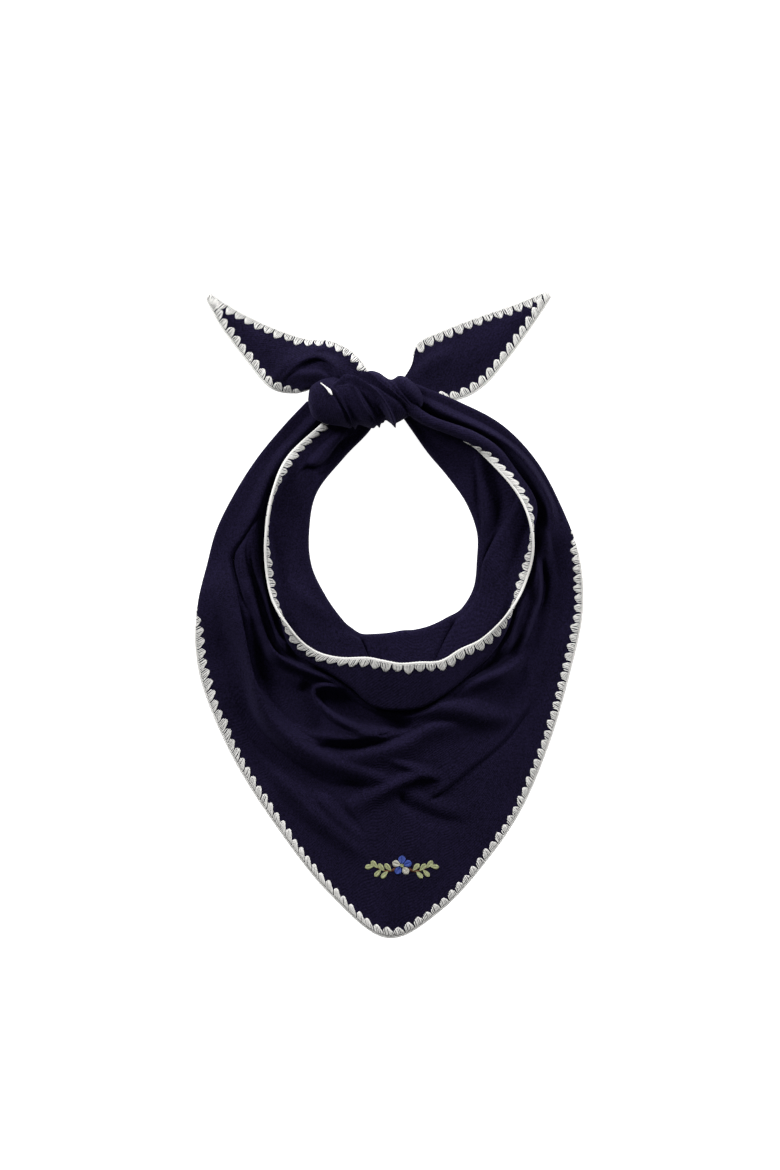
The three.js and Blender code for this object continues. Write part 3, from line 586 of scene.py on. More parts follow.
# %% Hollows beside the folds
# the columns of the folds, with a depth in place of the height
HOLLOWS = {
    "under the main left fold": [
        (242, 592, 0, 3), (248, 615, 6, 4, 3), (254, 640, 10, 6, 4), (262, 664, 13, 9, 5),
        (275, 688, 16, 15, 7), (291, 706, 16, 17, 8), (308, 721, 12, 14, 8), (328, 735, 0, 9, 8)],
    "pocket": [
        (298, 682, 0, 9, 14), (312, 692, 12, 10, 20), (330, 702, 13, 13, 20), (348, 709, 12, 14, 15),
        (364, 715, 9, 10), (380, 722, 0, 8)],
    "beside the main right fold": [
        (530, 704, 0, 2), (519, 722, 2, 2), (506, 739, 3, 2), (490, 754, 3, 2), (472, 768, 3, 2),
        (454, 783, 3.5, 2.2), (440, 794, 3.5, 2.4), (427, 802, 0, 2.4)],
    "thin line above it": [
        (266, 498, 0, 1.6), (257, 517, 3, 1.6), (244, 538, 4, 1.6), (234, 555, 5, 1.8),
        (236, 576, 6, 1.8), (243, 603, 5, 2), (248, 620, 0, 2)],
    "line beside the second fold": [
        (250, 548, 0, 1.5), (253, 573, 4, 1.5), (260, 600, 5, 1.6), (268, 627, 6, 1.8),
        (276, 645, 5, 2), (292, 657, 4, 2), (312, 667, 0, 2)],
    "outer valley": [
        (212, 600, 0, 6, 7), (219, 628, 3.5, 6, 8), (229, 655, 6, 6, 9), (237, 682, 8, 6, 10),
        (245, 705, 9, 6, 10), (255, 725, 10, 6, 10), (271, 745, 10, 6, 10), (290, 763, 9, 6, 9),
        (310, 778, 8, 5, 8), (328, 787, 6, 4, 7), (346, 791, 5, 4, 6), (368, 790, 0, 4, 5)],
    "beside the flap": [
        (318, 692, 0, 4), (330, 696, 9, 5, 6), (346, 703, 13, 7, 9), (362, 712, 14, 7, 9),
        (380, 720, 13, 7), (400, 725, 11, 6, 7), (414, 723, 0, 5, 6)],
    "under the swirl": [
        (324, 712, 0, 5), (338, 721, 3, 5), (352, 728, 3, 4, 5), (366, 732, 0, 4)],
    "under the shelf": [
        (300, 741, 0, 3, 4), (318, 746, 4, 3, 4), (340, 747, 6, 2.5, 3), (362, 745, 5, 2, 3),
        (384, 740, 4, 2, 2.5), (404, 734, 4, 2, 2.5), (420, 726, 0, 3)],
    "below the main left fold": [
        (334, 786, 0, 4), (346, 786, 3, 4), (358, 786, 4, 4), (374, 787, 0, 3)],
    "under the hem": [
        (440, 703, 0, 5), (462, 680, 9, 5), (480, 671, 10, 5), (500, 659, 10, 5), (514, 648, 8, 5),
        (526, 634, 0, 4)],
    "dark spot": [
        (494, 622, 0, 4, 5), (497, 636, 10, 4, 6), (494, 652, 9, 4, 5), (484, 662, 0, 4)],
    "right of the tongue": [
        (541, 556, 0, 3), (543, 570, 8, 3), (545, 585, 9, 3, 4), (542, 602, 7, 3), (534, 622, 0, 3)],
    "under the low right fold": [
        (396, 790, 0, 4), (404, 802, 5, 4), (418, 811, 5, 4, 5), (434, 818, 5, 4, 5),
        (450, 822, 4, 4, 5), (468, 825, 0, 4, 6)],
    "between the wedge and the hooked fold": [
        (322, 788, 0, 4), (338, 800, 4, 4), (346, 812, 5, 4), (354, 824, 4, 4), (366, 834, 0, 4)],
}
print("hollows:", ", ".join(HOLLOWS))

# %% [markdown]
# The inner layer behind the neck opening is smooth but for a few pleats, where the cloth is laid over
# itself. A pleat is a fold with one very steep flank, and a thin line is sunk along that flank.

# %% Pleats of the inner layer
# the columns of the folds
PLEATS = {
    "left pleat": [
        (350, 626, 0, 2, 14, 0.4), (356, 633, 4, 2, 15, 0.5), (362, 645, 4, 2, 15, 0.5),
        (368, 661, 3, 2, 14, 0.4)],
    "right pleat": [
        (436, 662, 2, 1.5, 24, 0.3), (448, 637, 2.6, 1.5, 32, 0.4), (460, 615, 2.8, 1.5, 36, 0.4),
        (477, 577, 3, 2, 36, 0.4), (494, 542, 3.5, 2, 30, 0.5), (508, 519, 5, 2.5, 20, 0.5),
        (520, 496, 5, 3, 14, 0.5)],
    "upper right pleat": [
        (474, 446, 0, 4, 3), (479, 468, 4, 5, 3, -0.2), (483, 495, 6, 6, 3, -0.3),
        (484, 520, 5, 6, 3, -0.3), (480, 545, 3, 5, 3, -0.2), (477, 566, 0, 4, 3)],
    "upper left pleat": [
        (284, 487, 0, 10, 2.5, -0.3), (293, 474, 4, 14, 2.5, -0.4), (303, 464, 6, 18, 2.5, -0.5),
        (316, 465, 6, 18, 2.5, -0.5), (324, 460, 6, 18, 2.5, -0.5), (333, 447, 5, 14, 3, -0.4),
        (344, 434, 3, 10, 3, -0.3)],
    "left soft fold": [
        (278, 570, 0, 7, 9), (295, 590, 3, 7, 10), (315, 607, 3, 7, 10), (336, 622, 0, 7, 8)],
}
# the same columns, with a depth in place of the height
PLEAT_LINES = {
    "left": [
        (350, 624, 0, 2), (358, 634, 3, 2), (364, 646, 3, 2), (369, 662, 2, 2)],
    "right": [
        (434, 662, 3, 2), (446, 637, 4, 2.2), (458, 614, 4, 2.2), (475, 576, 4, 2.2),
        (492, 541, 4, 2.4), (506, 518, 4, 2.6), (518, 496, 2, 2.6)],
    "upper left": [
        (284, 490, 0, 2.2), (294, 477, 3, 2.4), (304, 468, 4, 2.6), (317, 468, 4, 2.6),
        (327, 462, 4, 2.6), (335, 449, 3, 2.4), (344, 436, 0, 2.2)],
    "upper right": [
        (474, 452, 0, 2.2), (476.5, 478, 3, 2.2), (477, 508, 3, 2.2), (476, 534, 0, 2.2)],
    "pocket beside the edging": [
        (486, 452, 0, 6, 7), (496, 474, 5, 8), (502, 498, 6, 9, 7), (498, 520, 5, 8, 6),
        (488, 542, 0, 6)],
}
print("pleats:", ", ".join(PLEATS))

# %% [markdown]
# For every point of the cloth the nearest place on a crest is sought, and the height, the widths and
# the lean are read there. The table gives the crest where it is seen, so its foot is found first by
# going back against the lean. Where folds meet, the cube root of the summed cubes lets the higher one
# win without a step between them.

# %% How folds move the cloth
GRID_MM = 0.9  # side of one square of the plan's grid
GRID_MIDDLE = (389.75, 613.25)  # column and row of the grid at the scarf's origin
FOLD_FALL = 1.4  # how fast a flank falls off within its width
CREST_STEP = 4.0  # length of one straight piece of a crest


def full_row(column, row, height, left, right=None, lean=0):
    """A row of a fold's table with all its columns."""
    return column, row, height, left, left if right is None else right, lean


def crest_line(crest):
    """A fold's table as a smooth line in millimetres, moved to the foot of the leaning crest."""
    crest = np.array([full_row(*row) for row in crest], float)
    crest[:, 0] = (crest[:, 0] - GRID_MIDDLE[0]) * GRID_MM
    crest[:, 1] = (GRID_MIDDLE[1] - crest[:, 1]) * GRID_MM
    line = even_path(crest, CREST_STEP)
    ahead = unit(np.gradient(line[:, :2], axis=0))
    line[:, :2] -= np.stack([-ahead[:, 1], ahead[:, 0]], -1) * (line[:, 2] * line[:, 5])[:, None]
    return line


def fold_push(x, y, folds):
    """How far folds move points in plan: height * exp(-1.4 (distance / width)^2), and its lean."""
    rise_sum = np.zeros(x.shape)
    rise_power = np.zeros(x.shape)
    sideways = np.zeros(x.shape + (2,))
    for crest in folds.values():
        line = crest_line(crest)
        step = np.diff(line[:, :2], axis=0)
        length = np.linalg.norm(step, axis=1)
        along_x, along_y = (step / length[:, None]).T
        dx = x[..., None] - line[:-1, 0]
        dy = y[..., None] - line[:-1, 1]
        t = np.clip(dx * along_x + dy * along_y, 0, length)
        off_x, off_y = dx - t * along_x, dy - t * along_y
        nearest = np.argmin(off_x**2 + off_y**2, -1)
        ux, uy, ox, oy, f = (
            np.take_along_axis(np.broadcast_to(a, off_x.shape), nearest[..., None], -1)[..., 0]
            for a in (along_x, along_y, off_x, off_y, t / length))
        high, left, right, lean = ((1 - f) * line[nearest, k] + f * line[nearest + 1, k]
                                   for k in (2, 3, 4, 5))
        width = np.where(ux * oy - uy * ox > 0, left, right)
        rise = np.maximum(high, 0) * np.exp(-FOLD_FALL * (ox**2 + oy**2) / width**2)
        rise_sum += rise
        rise_power += rise**3
        sideways += np.stack([-uy, ux], -1) * (rise * lean)[..., None]
    rise = np.cbrt(rise_power)
    blend = rise / np.maximum(rise_sum, 1e-6)
    return np.concatenate([sideways * blend[..., None], rise[..., None]], -1)


# %% [markdown]
# ## Walking one section
#
# A turned strip is an arc of a circle followed by a straight piece. The hem turns up, the rim turns
# down. With these two and the fold at the opening, a section is walked in six stretches, each with
# its own number of points: the hem flap, the inner layer, the fold, the hidden under layer, the outer
# layer and the rim. All sections are walked at once, as arrays of sections by points.

# %% The surface of the loop
# points of each stretch
HEM_FLAP, HEM_CURL, INNER, AT_HOLE, UNDER, OUTER, RIM_CURL, RIM_TUCK = 9, 9, 20, 6, 3, 90, 6, 3
RIM_SPARE = 0.3  # how much wider the columns of the outer layer are towards the rim
FULL_TURN = 60  # from this angle on a turned-under rim lies at its full height, in degrees
TURN_RISE = 1.9  # how much higher the edge of such a rim lies
RISE_SHARE = 0.35  # share of the outer layer over which it climbs to its crest
FALL_SHARE, FALL_END = 0.4, 0.62  # shares over which and by which it has come down again
RIM_CALM, RIM_PAST = 18, 4  # folds fade out from so far before the rim's turn to so far past it
HEM_CALM, HEM_PAST = 6, 1  # the pleats do the same at the hem's turn
FREE_INNER, FREE_OUTER = 5, 4  # lengths over which either layer gets free to move at its start
UNDER_HEM = 2  # the cloth comes out from under the turned hem this far past it


def turned_strip(angle, curl, flap, curl_points, flap_points):
    """Distance out and up along a strip that turns through angle over the length curl, then runs on.

    On the arc, out is r sin(a) and up is r (1 - cos(a)), with r = curl / angle."""
    angle = np.where(np.abs(angle) < 1e-3, 1e-3, angle)[:, None]
    a = angle * np.linspace(0, 1, curl_points + 1)
    r = curl[:, None] / angle
    out, up = r * np.sin(a), r * (1 - np.cos(a))
    rest = flap[:, None] * np.linspace(0, 1, flap_points + 1)[1:]
    out = np.concatenate([out, out[:, -1:] + rest * np.cos(angle)], 1)
    up = np.concatenate([up, up[:, -1:] + rest * np.sin(angle)], 1)
    return out, up


def fold_part(part, free, folds, hollows):
    """Moves a part of a sheet by its folds, less its hollows, as far as it is free to move."""
    push = fold_push(part[..., 0], part[..., 1], folds)
    push[..., 2] -= fold_push(part[..., 0], part[..., 1], hollows)[..., 2]
    part += free[..., None] * push


def loop_surface(at):
    """Middle surface of the loop at fractional section numbers: rows from hem edge to rim edge."""
    s = dict(zip(SECTION_COLUMNS, between(SECTIONS, at).T))
    hole = np.stack([s["hole_x"], s["hole_y"]], -1)
    reach = np.stack([s["rim_x"], s["rim_y"]], -1) - hole
    length = np.linalg.norm(reach, axis=-1, keepdims=True)
    reach = reach / length
    floor_height = (s["lift"] + CLOTH / 2)[:, None]
    layer = floor_height + 2 * HOLE_FOLD
    hem_foot = layer + LAYER_RISE

    hem_out, hem_up = turned_strip(np.radians(s["turn"]), s["curl"], s["flap"], HEM_CURL, HEM_FLAP)
    hem_start = s["hem"][:, None] - hem_out[:, -1:]
    hem_reach = hem_start + hem_out.max(1, keepdims=True)
    q = np.linspace(1, 0, INNER + 1)[1:]
    inner_out = HOLE_FOLD + (hem_start - HOLE_FOLD) * q
    inner_up = layer + (hem_foot - layer) * ease(0, 1, q)
    a = np.radians(90 + 180 * np.linspace(0, 1, AT_HOLE + 1)[1:])
    fold_out = HOLE_FOLD * (1 + np.cos(a)) + 0 * layer
    fold_up = floor_height + HOLE_FOLD * (1 + np.sin(a))
    start = hem_reach + UNDER_HEM
    under_out = HOLE_FOLD + (start - HOLE_FOLD) * np.linspace(0, 1, UNDER + 1)[1:]
    under_up = floor_height + 0 * under_out

    fold = np.radians(s["fold"])
    rim_out, rim_up = turned_strip(-fold, np.full(len(at), ROLL), s["tuck"], RIM_CURL, RIM_TUCK)
    rim_up = rim_up * RIM_SQUASH
    rim_start = length - rim_out.max(1, keepdims=True)
    rest = EDGE_REST * (1 - ease(0, FULL_TURN, s["fold"]))[:, None]
    edge = floor_height + rest + TURN_RISE * ease(0, FULL_TURN, s["fold"])[:, None]
    rim_foot = edge - rim_up[:, -1:]
    crest = np.maximum(s["band"][:, None] + floor_height, rim_foot - rest)
    q = np.linspace(0, 1, OUTER + 1)[1:]
    q = q * (1 - RIM_SPARE * (1 - q))
    outer_out = start + (rim_start - start) * q
    top = s["crest"][:, None]
    down = np.minimum(np.maximum(FALL_END, top + FALL_SHARE), 1)
    outer_up = floor_height + (crest - floor_height) * ease(top - RISE_SHARE, top, q)
    outer_up = outer_up + (rim_foot - crest) * ease(top, down, q)

    out = np.concatenate([(hem_start + hem_out)[:, ::-1], inner_out, fold_out, under_out, outer_out,
                          rim_start + rim_out[:, 1:]], 1)
    up = np.concatenate([(hem_foot + hem_up)[:, ::-1], inner_up, fold_up, under_up, outer_up,
                         rim_foot + rim_up[:, 1:]], 1)
    grid = np.concatenate([hole[:, None] + reach[:, None] * out[..., None], up[..., None]], -1)

    first = HEM_FLAP + HEM_CURL + 1
    calm = ease(hem_start - HEM_CALM, hem_start + HEM_PAST, inner_out)
    free = ease(HOLE_FOLD, HOLE_FOLD + FREE_INNER, inner_out) * (1 - calm)
    fold_part(grid[:, first:first + INNER], free, PLEATS, PLEAT_LINES)
    first += INNER + AT_HOLE + UNDER
    calm = ease(rim_start - RIM_CALM, rim_start + RIM_PAST, outer_out)
    free = ease(start, start + FREE_OUTER, outer_out) * (1 - calm)
    fold_part(grid[:, first:first + OUTER], free, BIB_FOLDS, HOLLOWS)
    grid[..., 2] = np.maximum(grid[..., 2], CLOTH / 2)
    return grid


# %% [markdown]
# The sections are read more densely where they are far apart, so that the squares of the sheet come
# out of about the same size at the point of the bib and beside the knot.

# %% Sheet of the loop
ROWS = 340
AT_OPENING, AT_RIM = 0.35, 0.65  # shares of the two borders in the distance between sections


def even_sections(count):
    """Fractional section numbers whose sections are evenly far apart on average."""
    dense = np.linspace(0, len(SECTIONS) - 1, 40 * len(SECTIONS))
    rows = between(SECTIONS, dense)
    way = AT_OPENING * run_length(rows[:, 0:2]) + AT_RIM * run_length(rows[:, 2:4])
    return np.interp(np.linspace(0, way[-1], count), way, dense)


section_at = even_sections(ROWS)
loop = loop_surface(section_at)
print("loop grid:", loop.shape)

# %% [markdown]
# The pattern of the knit needs the flat cloth. Each section is laid back on the open triangle: its
# walked length is the distance from the long edge, and the hem's own length is the distance along
# it. The rows of loops run at an angle to the long edge, as the triangle is cut on the bias.

# %% Flat coordinates
BIAS = np.radians(52)  # angle between the rows of loops and the long edge


def flat_coordinates(grid, bias):
    """Distances across and along the rows of loops, in metres, from the lengths along the grid."""
    walked = np.linalg.norm(np.diff(grid, axis=1), axis=-1)
    down = np.concatenate([np.zeros((len(grid), 1)), np.cumsum(walked, 1)], 1)
    middle = grid[:, grid.shape[1] // 2]
    side = np.linalg.norm(np.diff(grid, axis=0), axis=-1)
    side = np.concatenate([np.zeros((1, grid.shape[1])), np.cumsum(side, 0)], 0)
    side = side - side[len(middle) // 2]
    across = side * np.cos(bias) + down * np.sin(bias)
    along = down * np.cos(bias) - side * np.sin(bias)
    return np.stack([across, along], -1) * MM


scarf_cloth = sheet_piece("scarf_knit", loop, CLOTH, flat_coordinates(loop, BIAS), [navy_knit])
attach(scarf_cloth, "root")
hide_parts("scarf_cloth")


def surface_area(grid):
    """Area of a grid of points, in square metres: half the cross product of each cell's diagonals."""
    one = grid[1:, 1:] - grid[:-1, :-1]
    two = grid[1:, :-1] - grid[:-1, 1:]
    return float(np.linalg.norm(np.cross(one, two), axis=-1).sum() / 2 * MM * MM)


print("loop area in square metres:", round(surface_area(loop), 4))

# %% [markdown]
# ## The tails
#
# The two ends of the scarf come out of the knot as flat points. Each is given by straight sections
# from its upper to its lower edge, with a soft crown between, and the left one has the folds that the
# knot pulls into it. Its lower edge is rolled under beside the knot.

# %% Sections and folds of the tails
TAIL_COLUMNS = ("up_x", "up_y", "low_x", "low_y", "height", "crown", "fold", "tuck")
LEFT_TAIL = [
    (-162, 287, -164, 283, 2, 0, 0, 1),
    (-135, 270, -151, 259, 2, 2, 0, 3),
    (-103, 255, -130, 231, 3, 4, 0, 4),
    (-76, 246, -108, 205, 5, 5, 0, 5),
    (-54, 244, -86, 199, 9, 6, 60, 5),
    (-36, 235, -68, 203, 15, 5, 120, 5),
    (-22, 219, -57, 201, 20, 3, 120, 5),
    (-18, 200, -48, 190, 22, 2, 60, 5),
]
RIGHT_TAIL = [
    (8, 205, 20, 188, 5.5, 1, 0, 4),
    (19, 222, 38, 193, 2.5, 2, 0, 4),
    (26, 242, 62, 194, 1.5, 3, 0, 5),
    (50, 254, 84, 206, 2, 4, 0, 5),
    (81, 266, 106, 231, 2, 4, 0, 4),
    (113, 277, 126, 258, 2, 2, 0, 3),
    (142, 289, 144, 285, 2, 0, 0, 1),
]
LEFT_TAIL_FOLDS = {
    "outer fold": [
        (270, 385, 0, 6, 4, -0.2), (281, 373, 4, 6, 4, -0.3), (290, 365, 5, 7, 4, -0.3),
        (300, 358, 6, 7, 4, -0.3), (310, 353.5, 6, 7, 4, -0.3), (320, 351, 5, 6, 4, -0.3),
        (332, 351, 3, 6, 5, -0.2), (344, 357, 0, 6, 5)],
    "inner fold": [
        (275, 383, 0, 4, 4, -0.2), (288, 374, 5, 4, 4, -0.3), (297, 366, 7, 4, 4, -0.4),
        (306, 360.5, 8, 4, 4, -0.4), (315, 358, 8, 4, 4, -0.4), (323, 359, 8, 4, 4, -0.4),
        (330, 363, 8, 4, 4, -0.4), (336, 369, 7, 4, 4, -0.3), (339, 377, 5, 4, 4, -0.2),
        (339, 386, 0, 4)],
    "low roll": [
        (285, 382, 0, 5), (296, 376, 4, 5, 6), (308, 375, 6, 4, 7, 0.1), (320, 375.5, 6, 4, 7, 0.1),
        (328, 380, 5, 4, 6), (334, 388, 0, 4, 5)],
    "shoulder": [
        (337, 342, 0, 7, 6), (349, 352, 4, 7, 6), (357, 363, 5, 7, 6), (362, 374, 3, 6),
        (365, 383, 0, 6)],
}
RIGHT_TAIL_FOLDS = {
    "corner fold": [
        (408, 384, 0, 6, 8), (419, 372, 3, 6, 9), (430, 363, 4, 6, 10), (442, 356, 3, 6, 10),
        (457, 351, 0, 6, 9)],
}
print("folds of the left tail:", ", ".join(LEFT_TAIL_FOLDS))

# %% [markdown]
# A tail is walked like a section of the loop: straight across from its upper edge, and on the left
# tail round a turned strip at the lower one. The crown keeps it from lying like a sheet of card.

# %% Tails
TAIL_GRID = (110, 44)  # points along a tail and across it
TAIL_CURL = (6, 4)  # points of the turned strip and of its straight rest
TAIL_ROLL = (0.2, 8)  # length of cloth in the strip: a share of the width, and the most that it may be
TAIL_FREE = (0.12, 0.86)  # shares of the width between which the folds have their full height


def tail_surface(rows, folds):
    """Middle surface of a tail: straight lines from edge to edge with a crown of sin^2."""
    count, cols = TAIL_GRID
    s = dict(zip(TAIL_COLUMNS, between(rows, np.linspace(0, len(rows) - 1, count)).T))
    up = np.stack([s["up_x"], s["up_y"]], -1)
    reach = np.stack([s["low_x"], s["low_y"]], -1) - up
    length = np.linalg.norm(reach, axis=-1, keepdims=True)
    reach = reach / length
    roll = np.minimum(TAIL_ROLL[0] * length[:, 0], TAIL_ROLL[1])
    out_end, up_end = turned_strip(-np.radians(s["fold"]), roll, s["tuck"], *TAIL_CURL)
    flat = length - out_end.max(1, keepdims=True)
    q = np.linspace(0, 1, cols)
    out = np.concatenate([flat * q, flat + out_end[:, 1:]], 1)
    share = np.clip(out / length, 0, 1)
    high = (s["height"] + CLOTH / 2)[:, None] + s["crown"][:, None] * np.sin(np.pi * share) ** 2
    high[:, cols:] += up_end[:, 1:]
    high = np.maximum(high, CLOTH / 2 + 0.1)
    grid = np.concatenate([up[:, None] + reach[:, None] * out[..., None], high[..., None]], -1)
    free = ease(0, TAIL_FREE[0], share) * (1 - ease(TAIL_FREE[1], 1.0, share))
    grid += free[..., None] * fold_push(grid[..., 0], grid[..., 1], folds)
    return grid


TAILS = {"left_tail": (LEFT_TAIL, LEFT_TAIL_FOLDS), "right_tail": (RIGHT_TAIL, RIGHT_TAIL_FOLDS)}
tails = {}
for name, (rows, folds) in TAILS.items():
    grid = tail_surface(rows, folds)
    tails[name] = grid
    tail = sheet_piece(name + "_knit", grid, CLOTH, flat_coordinates(grid, BIAS), [navy_knit])
    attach(tail, "root")
    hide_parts(name)
    print(name, "area in square metres:", round(surface_area(grid), 4))

# %% [markdown]
# ## The knot
#
# The knot is a bean of cloth, wrapped in rolls that run down from the upper left. Its body is a set
# of ovals across its length, read from its outline in plan. The rolls are folds again, with their
# paths in plan, and they push the surface outwards along its own normal instead of upwards.

# %% Outline and rolls of the knot
# place along, low and high side of the outline
KNOT_OUTLINE = [
    (-70.6, 190, 192), (-69.4, 184, 199), (-66.4, 177.5, 203), (-60, 173, 205.5), (-50, 170.3, 207),
    (-38, 169.2, 208.5), (-26, 168.8, 210.5), (-14, 169.5, 214), (-4, 171, 212), (4, 174, 209.5),
    (12, 178.7, 207.5), (19, 182, 202), (24, 185, 196), (25.4, 189, 191),
]
# the columns of the folds
KNOT_ROLLS = {
    "left lobe": [
        (316, 390, 2, 9, 8), (318, 402, 4, 12, 9), (324, 413, 4.5, 12, 9), (336, 421, 3, 9, 8),
        (345, 428, 2, 7)],
    "left roll": [
        (334, 393, 0, 12, 2.6), (341.5, 404, 5, 12, 2.6), (347, 414, 6.5, 12, 2.6),
        (352.5, 421, 6, 12, 2.8), (359, 430, 4.5, 11, 4)],
    "middle roll": [
        (336, 392.5, 0, 6, 2.4), (343, 389.5, 4, 6, 2.4), (352, 388.8, 5.5, 8, 2.6),
        (359.5, 391.5, 6.5, 11, 2.8), (366, 399, 7, 13, 2.8), (370.5, 407, 7, 13, 2.8),
        (374.5, 416, 6.5, 12, 2.8), (380, 426, 4.5, 10, 4)],
    "gather": [
        (372, 402, 0, 4, 2.6), (378, 409, 6.8, 4, 2.6), (383, 417, 7.4, 4, 2.6), (388, 427, 4.5, 4)],
    "thin roll": [
        (335, 391, 0, 5, 2.4), (344, 386, 4, 5, 2.4), (357, 382, 5.5, 5, 2.6),
        (370.5, 385, 6.5, 6, 2.8), (380, 389.5, 7, 7, 2.8), (389, 396, 7, 7, 2.8),
        (399, 402, 6.5, 6, 2.8), (411, 411, 4, 5, 3)],
    "edge over the strand": [
        (380, 374, 3, 3, 8), (391, 380.5, 6.5, 2.8, 8), (399.5, 389, 7, 2.8, 8),
        (407, 398.5, 7, 2.8, 7), (413, 406, 5, 2.8, 6), (418, 413, 0, 3, 5)],
}
# the creases that part the rolls, with a depth in place of the height
KNOT_CREASES = {
    "lobe and left roll": [
        (331, 391, 0, 1.3), (339, 397.5, 4, 1.4), (347.5, 411, 6, 1.5), (353, 421, 6, 1.5),
        (358, 430, 4, 1.5)],
    "left and middle roll": [
        (334, 391.5, 0, 1.3), (348, 389.5, 4, 1.4), (357.5, 393, 6, 1.5), (365.5, 405, 7, 1.5),
        (373, 415, 7, 1.5), (380, 426, 4, 1.5)],
    "middle and thin roll": [
        (335, 391, 2, 1.3), (347, 382.7, 6, 1.4), (362, 386, 7, 1.5), (376, 395, 8, 1.5),
        (387, 409, 7, 1.5), (392, 421, 4, 1.5)],
    "thin roll and strand": [
        (349, 380, 2, 1.3), (369, 380, 6, 1.4), (382, 388.6, 7, 1.5), (399.5, 400.5, 7, 1.5),
        (411.5, 410, 5, 1.5)],
    "strand": [
        (384, 380, 0, 1.3), (393, 386, 3, 1.4), (401.5, 397.5, 5, 1.5), (414, 411, 4, 1.5)],
}
print("rolls of the knot:", ", ".join(KNOT_ROLLS))

# %% [markdown]
# An oval whose half height follows its half width keeps the knot round towards both ends. The rolls
# are pushed out, the creases are pushed in, and the body lies a little inside the outline, so that
# the rolls come out at the outline itself.

# %% Knot
KNOT_MIDDLE = 20.6  # height of its middle over the floor
KNOT_TALL = 19  # its largest half height
KNOT_VALLEY = 4.5  # depth of the body between the rolls, under the outline
KNOT_ENDS = 0.7  # power with which its height follows its width towards the ends
KNOT_SIDES = 0.9  # power of the cosine across, which makes the ovals a little fuller
KNOT_SLANT = 0.35  # how far the rows of loops run along it for each millimetre round it
KNOT_GRID = (280, 200)  # ovals along the knot, and points round each


def knot_surface(count, sides):
    """Ovals through the outline: across runs with the cosine of the way round, height with the sine."""
    rows = even_path(KNOT_OUTLINE, 0.1)
    way = run_length(rows[:, :2])
    at = way[-1] * (1 - np.cos(np.linspace(0, np.pi, count))) / 2
    x, low, high = (np.interp(at, way, rows[:, k]) for k in range(3))
    middle, half = (low + high) / 2, (high - low) / 2
    tall = KNOT_TALL * (half / half.max()) ** KNOT_ENDS
    turn = 2 * np.pi * np.arange(sides) / sides
    across = np.sign(np.cos(turn)) * np.abs(np.cos(turn)) ** KNOT_SIDES
    grid = np.stack([
        x[:, None] + 0 * turn,
        middle[:, None] + half[:, None] * across,
        KNOT_MIDDLE + tall[:, None] * np.sin(turn),
    ], -1)
    ring = np.concatenate([grid[:, -1:], grid, grid[:, :1]], 1)
    normal = -grid_normals(ring)[:, 1:-1]
    push = fold_push(grid[..., 0], grid[..., 1], KNOT_ROLLS)
    push[..., 2] -= fold_push(grid[..., 0], grid[..., 1], KNOT_CREASES)[..., 2]
    grid = grid + normal * (push[..., 2:] - KNOT_VALLEY)
    grid[..., :2] += push[..., :2] * np.maximum(normal[..., 2:], 0)
    grid[..., 2] = np.maximum(grid[..., 2], LEAST)
    return grid


def closed_body(grid):
    """Points, faces and UV of rings that close round, with a flat cap at either end."""
    count, sides = grid.shape[:2]
    number = np.arange(count * sides).reshape(count, sides)
    here, there = number[:-1], number[1:]
    quads = np.stack([here, there, np.roll(there, -1, 1), np.roll(here, -1, 1)], -1).reshape(-1, 4)
    length = run_length(grid.mean(1))[:, None]
    girth = np.linalg.norm(grid - np.roll(grid, 1, 1), axis=-1).cumsum(1)
    uv = np.stack([length + KNOT_SLANT * girth, girth], -1) * MM
    return grid.reshape(-1, 3), [quads[:, ::-1], number[:1, ::-1], number[-1:]], uv.reshape(-1, 2)


knot_grid = knot_surface(*KNOT_GRID)
print("knot box in millimetres:", knot_grid.min((0, 1)).round(1), knot_grid.max((0, 1)).round(1))
points, faces, uv = closed_body(knot_grid)
knot = mesh_piece("knot_rolls", points, faces, uv, [navy_knit])
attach(knot, "root")
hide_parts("knot")

# %% [markdown]
# ## Shell edging
#
# The edging is worked through the cloth with thick yarn. Each shell is a fan of seven yarns: they
# stand side by side at the edge, run into the cloth and meet in a rounded tip, on the front and on
# the back. A cord closes the edge. The cloth beside an edge is first unrolled into a strip, a table
# of points by rows and by distance from the edge, and the yarns are laid on that strip.

# %% Strips beside the edges
STRIP_DEPTH = np.arange(-3.0, 14.1, 1.0)  # distances from the edge at which a strip is read
AT_EDGE = int(np.flatnonzero(STRIP_DEPTH == 0)[0])  # the column that lies on the edge itself


def edge_strip(grid):
    """The cloth beside its first column: points and normals by row and by distance from the edge."""
    normals = grid_normals(grid)
    places = np.zeros((len(grid), len(STRIP_DEPTH), 6))
    for r, row in enumerate(np.concatenate([grid, normals], -1)):
        deep = run_length(row[:, :3])
        for k in range(6):
            places[r, :, k] = np.interp(STRIP_DEPTH, deep, row[:, k])
        inwards = unit(places[r, AT_EDGE + 1, :3] - row[0, :3])
        out = STRIP_DEPTH < 0
        places[r, out, :3] = row[0, :3] + STRIP_DEPTH[out, None] * inwards
    return places


def on_strip(strip, row, depth):
    """Points and normals of a strip at fractional rows and at depths, by bilinear blending."""
    j = np.clip(depth - STRIP_DEPTH[0], 0, len(STRIP_DEPTH) - 1.001)
    row = np.clip(row, 0, len(strip) - 1.001)
    r0, j0 = np.floor(row).astype(int), np.floor(j).astype(int)
    fr, fj = (row - r0)[..., None], (j - j0)[..., None]
    low = strip[r0, j0] * (1 - fj) + strip[r0, j0 + 1] * fj
    high = strip[r0 + 1, j0] * (1 - fj) + strip[r0 + 1, j0 + 1] * fj
    mixed = low * (1 - fr) + high * fr
    return mixed[..., :3], unit(mixed[..., 3:])


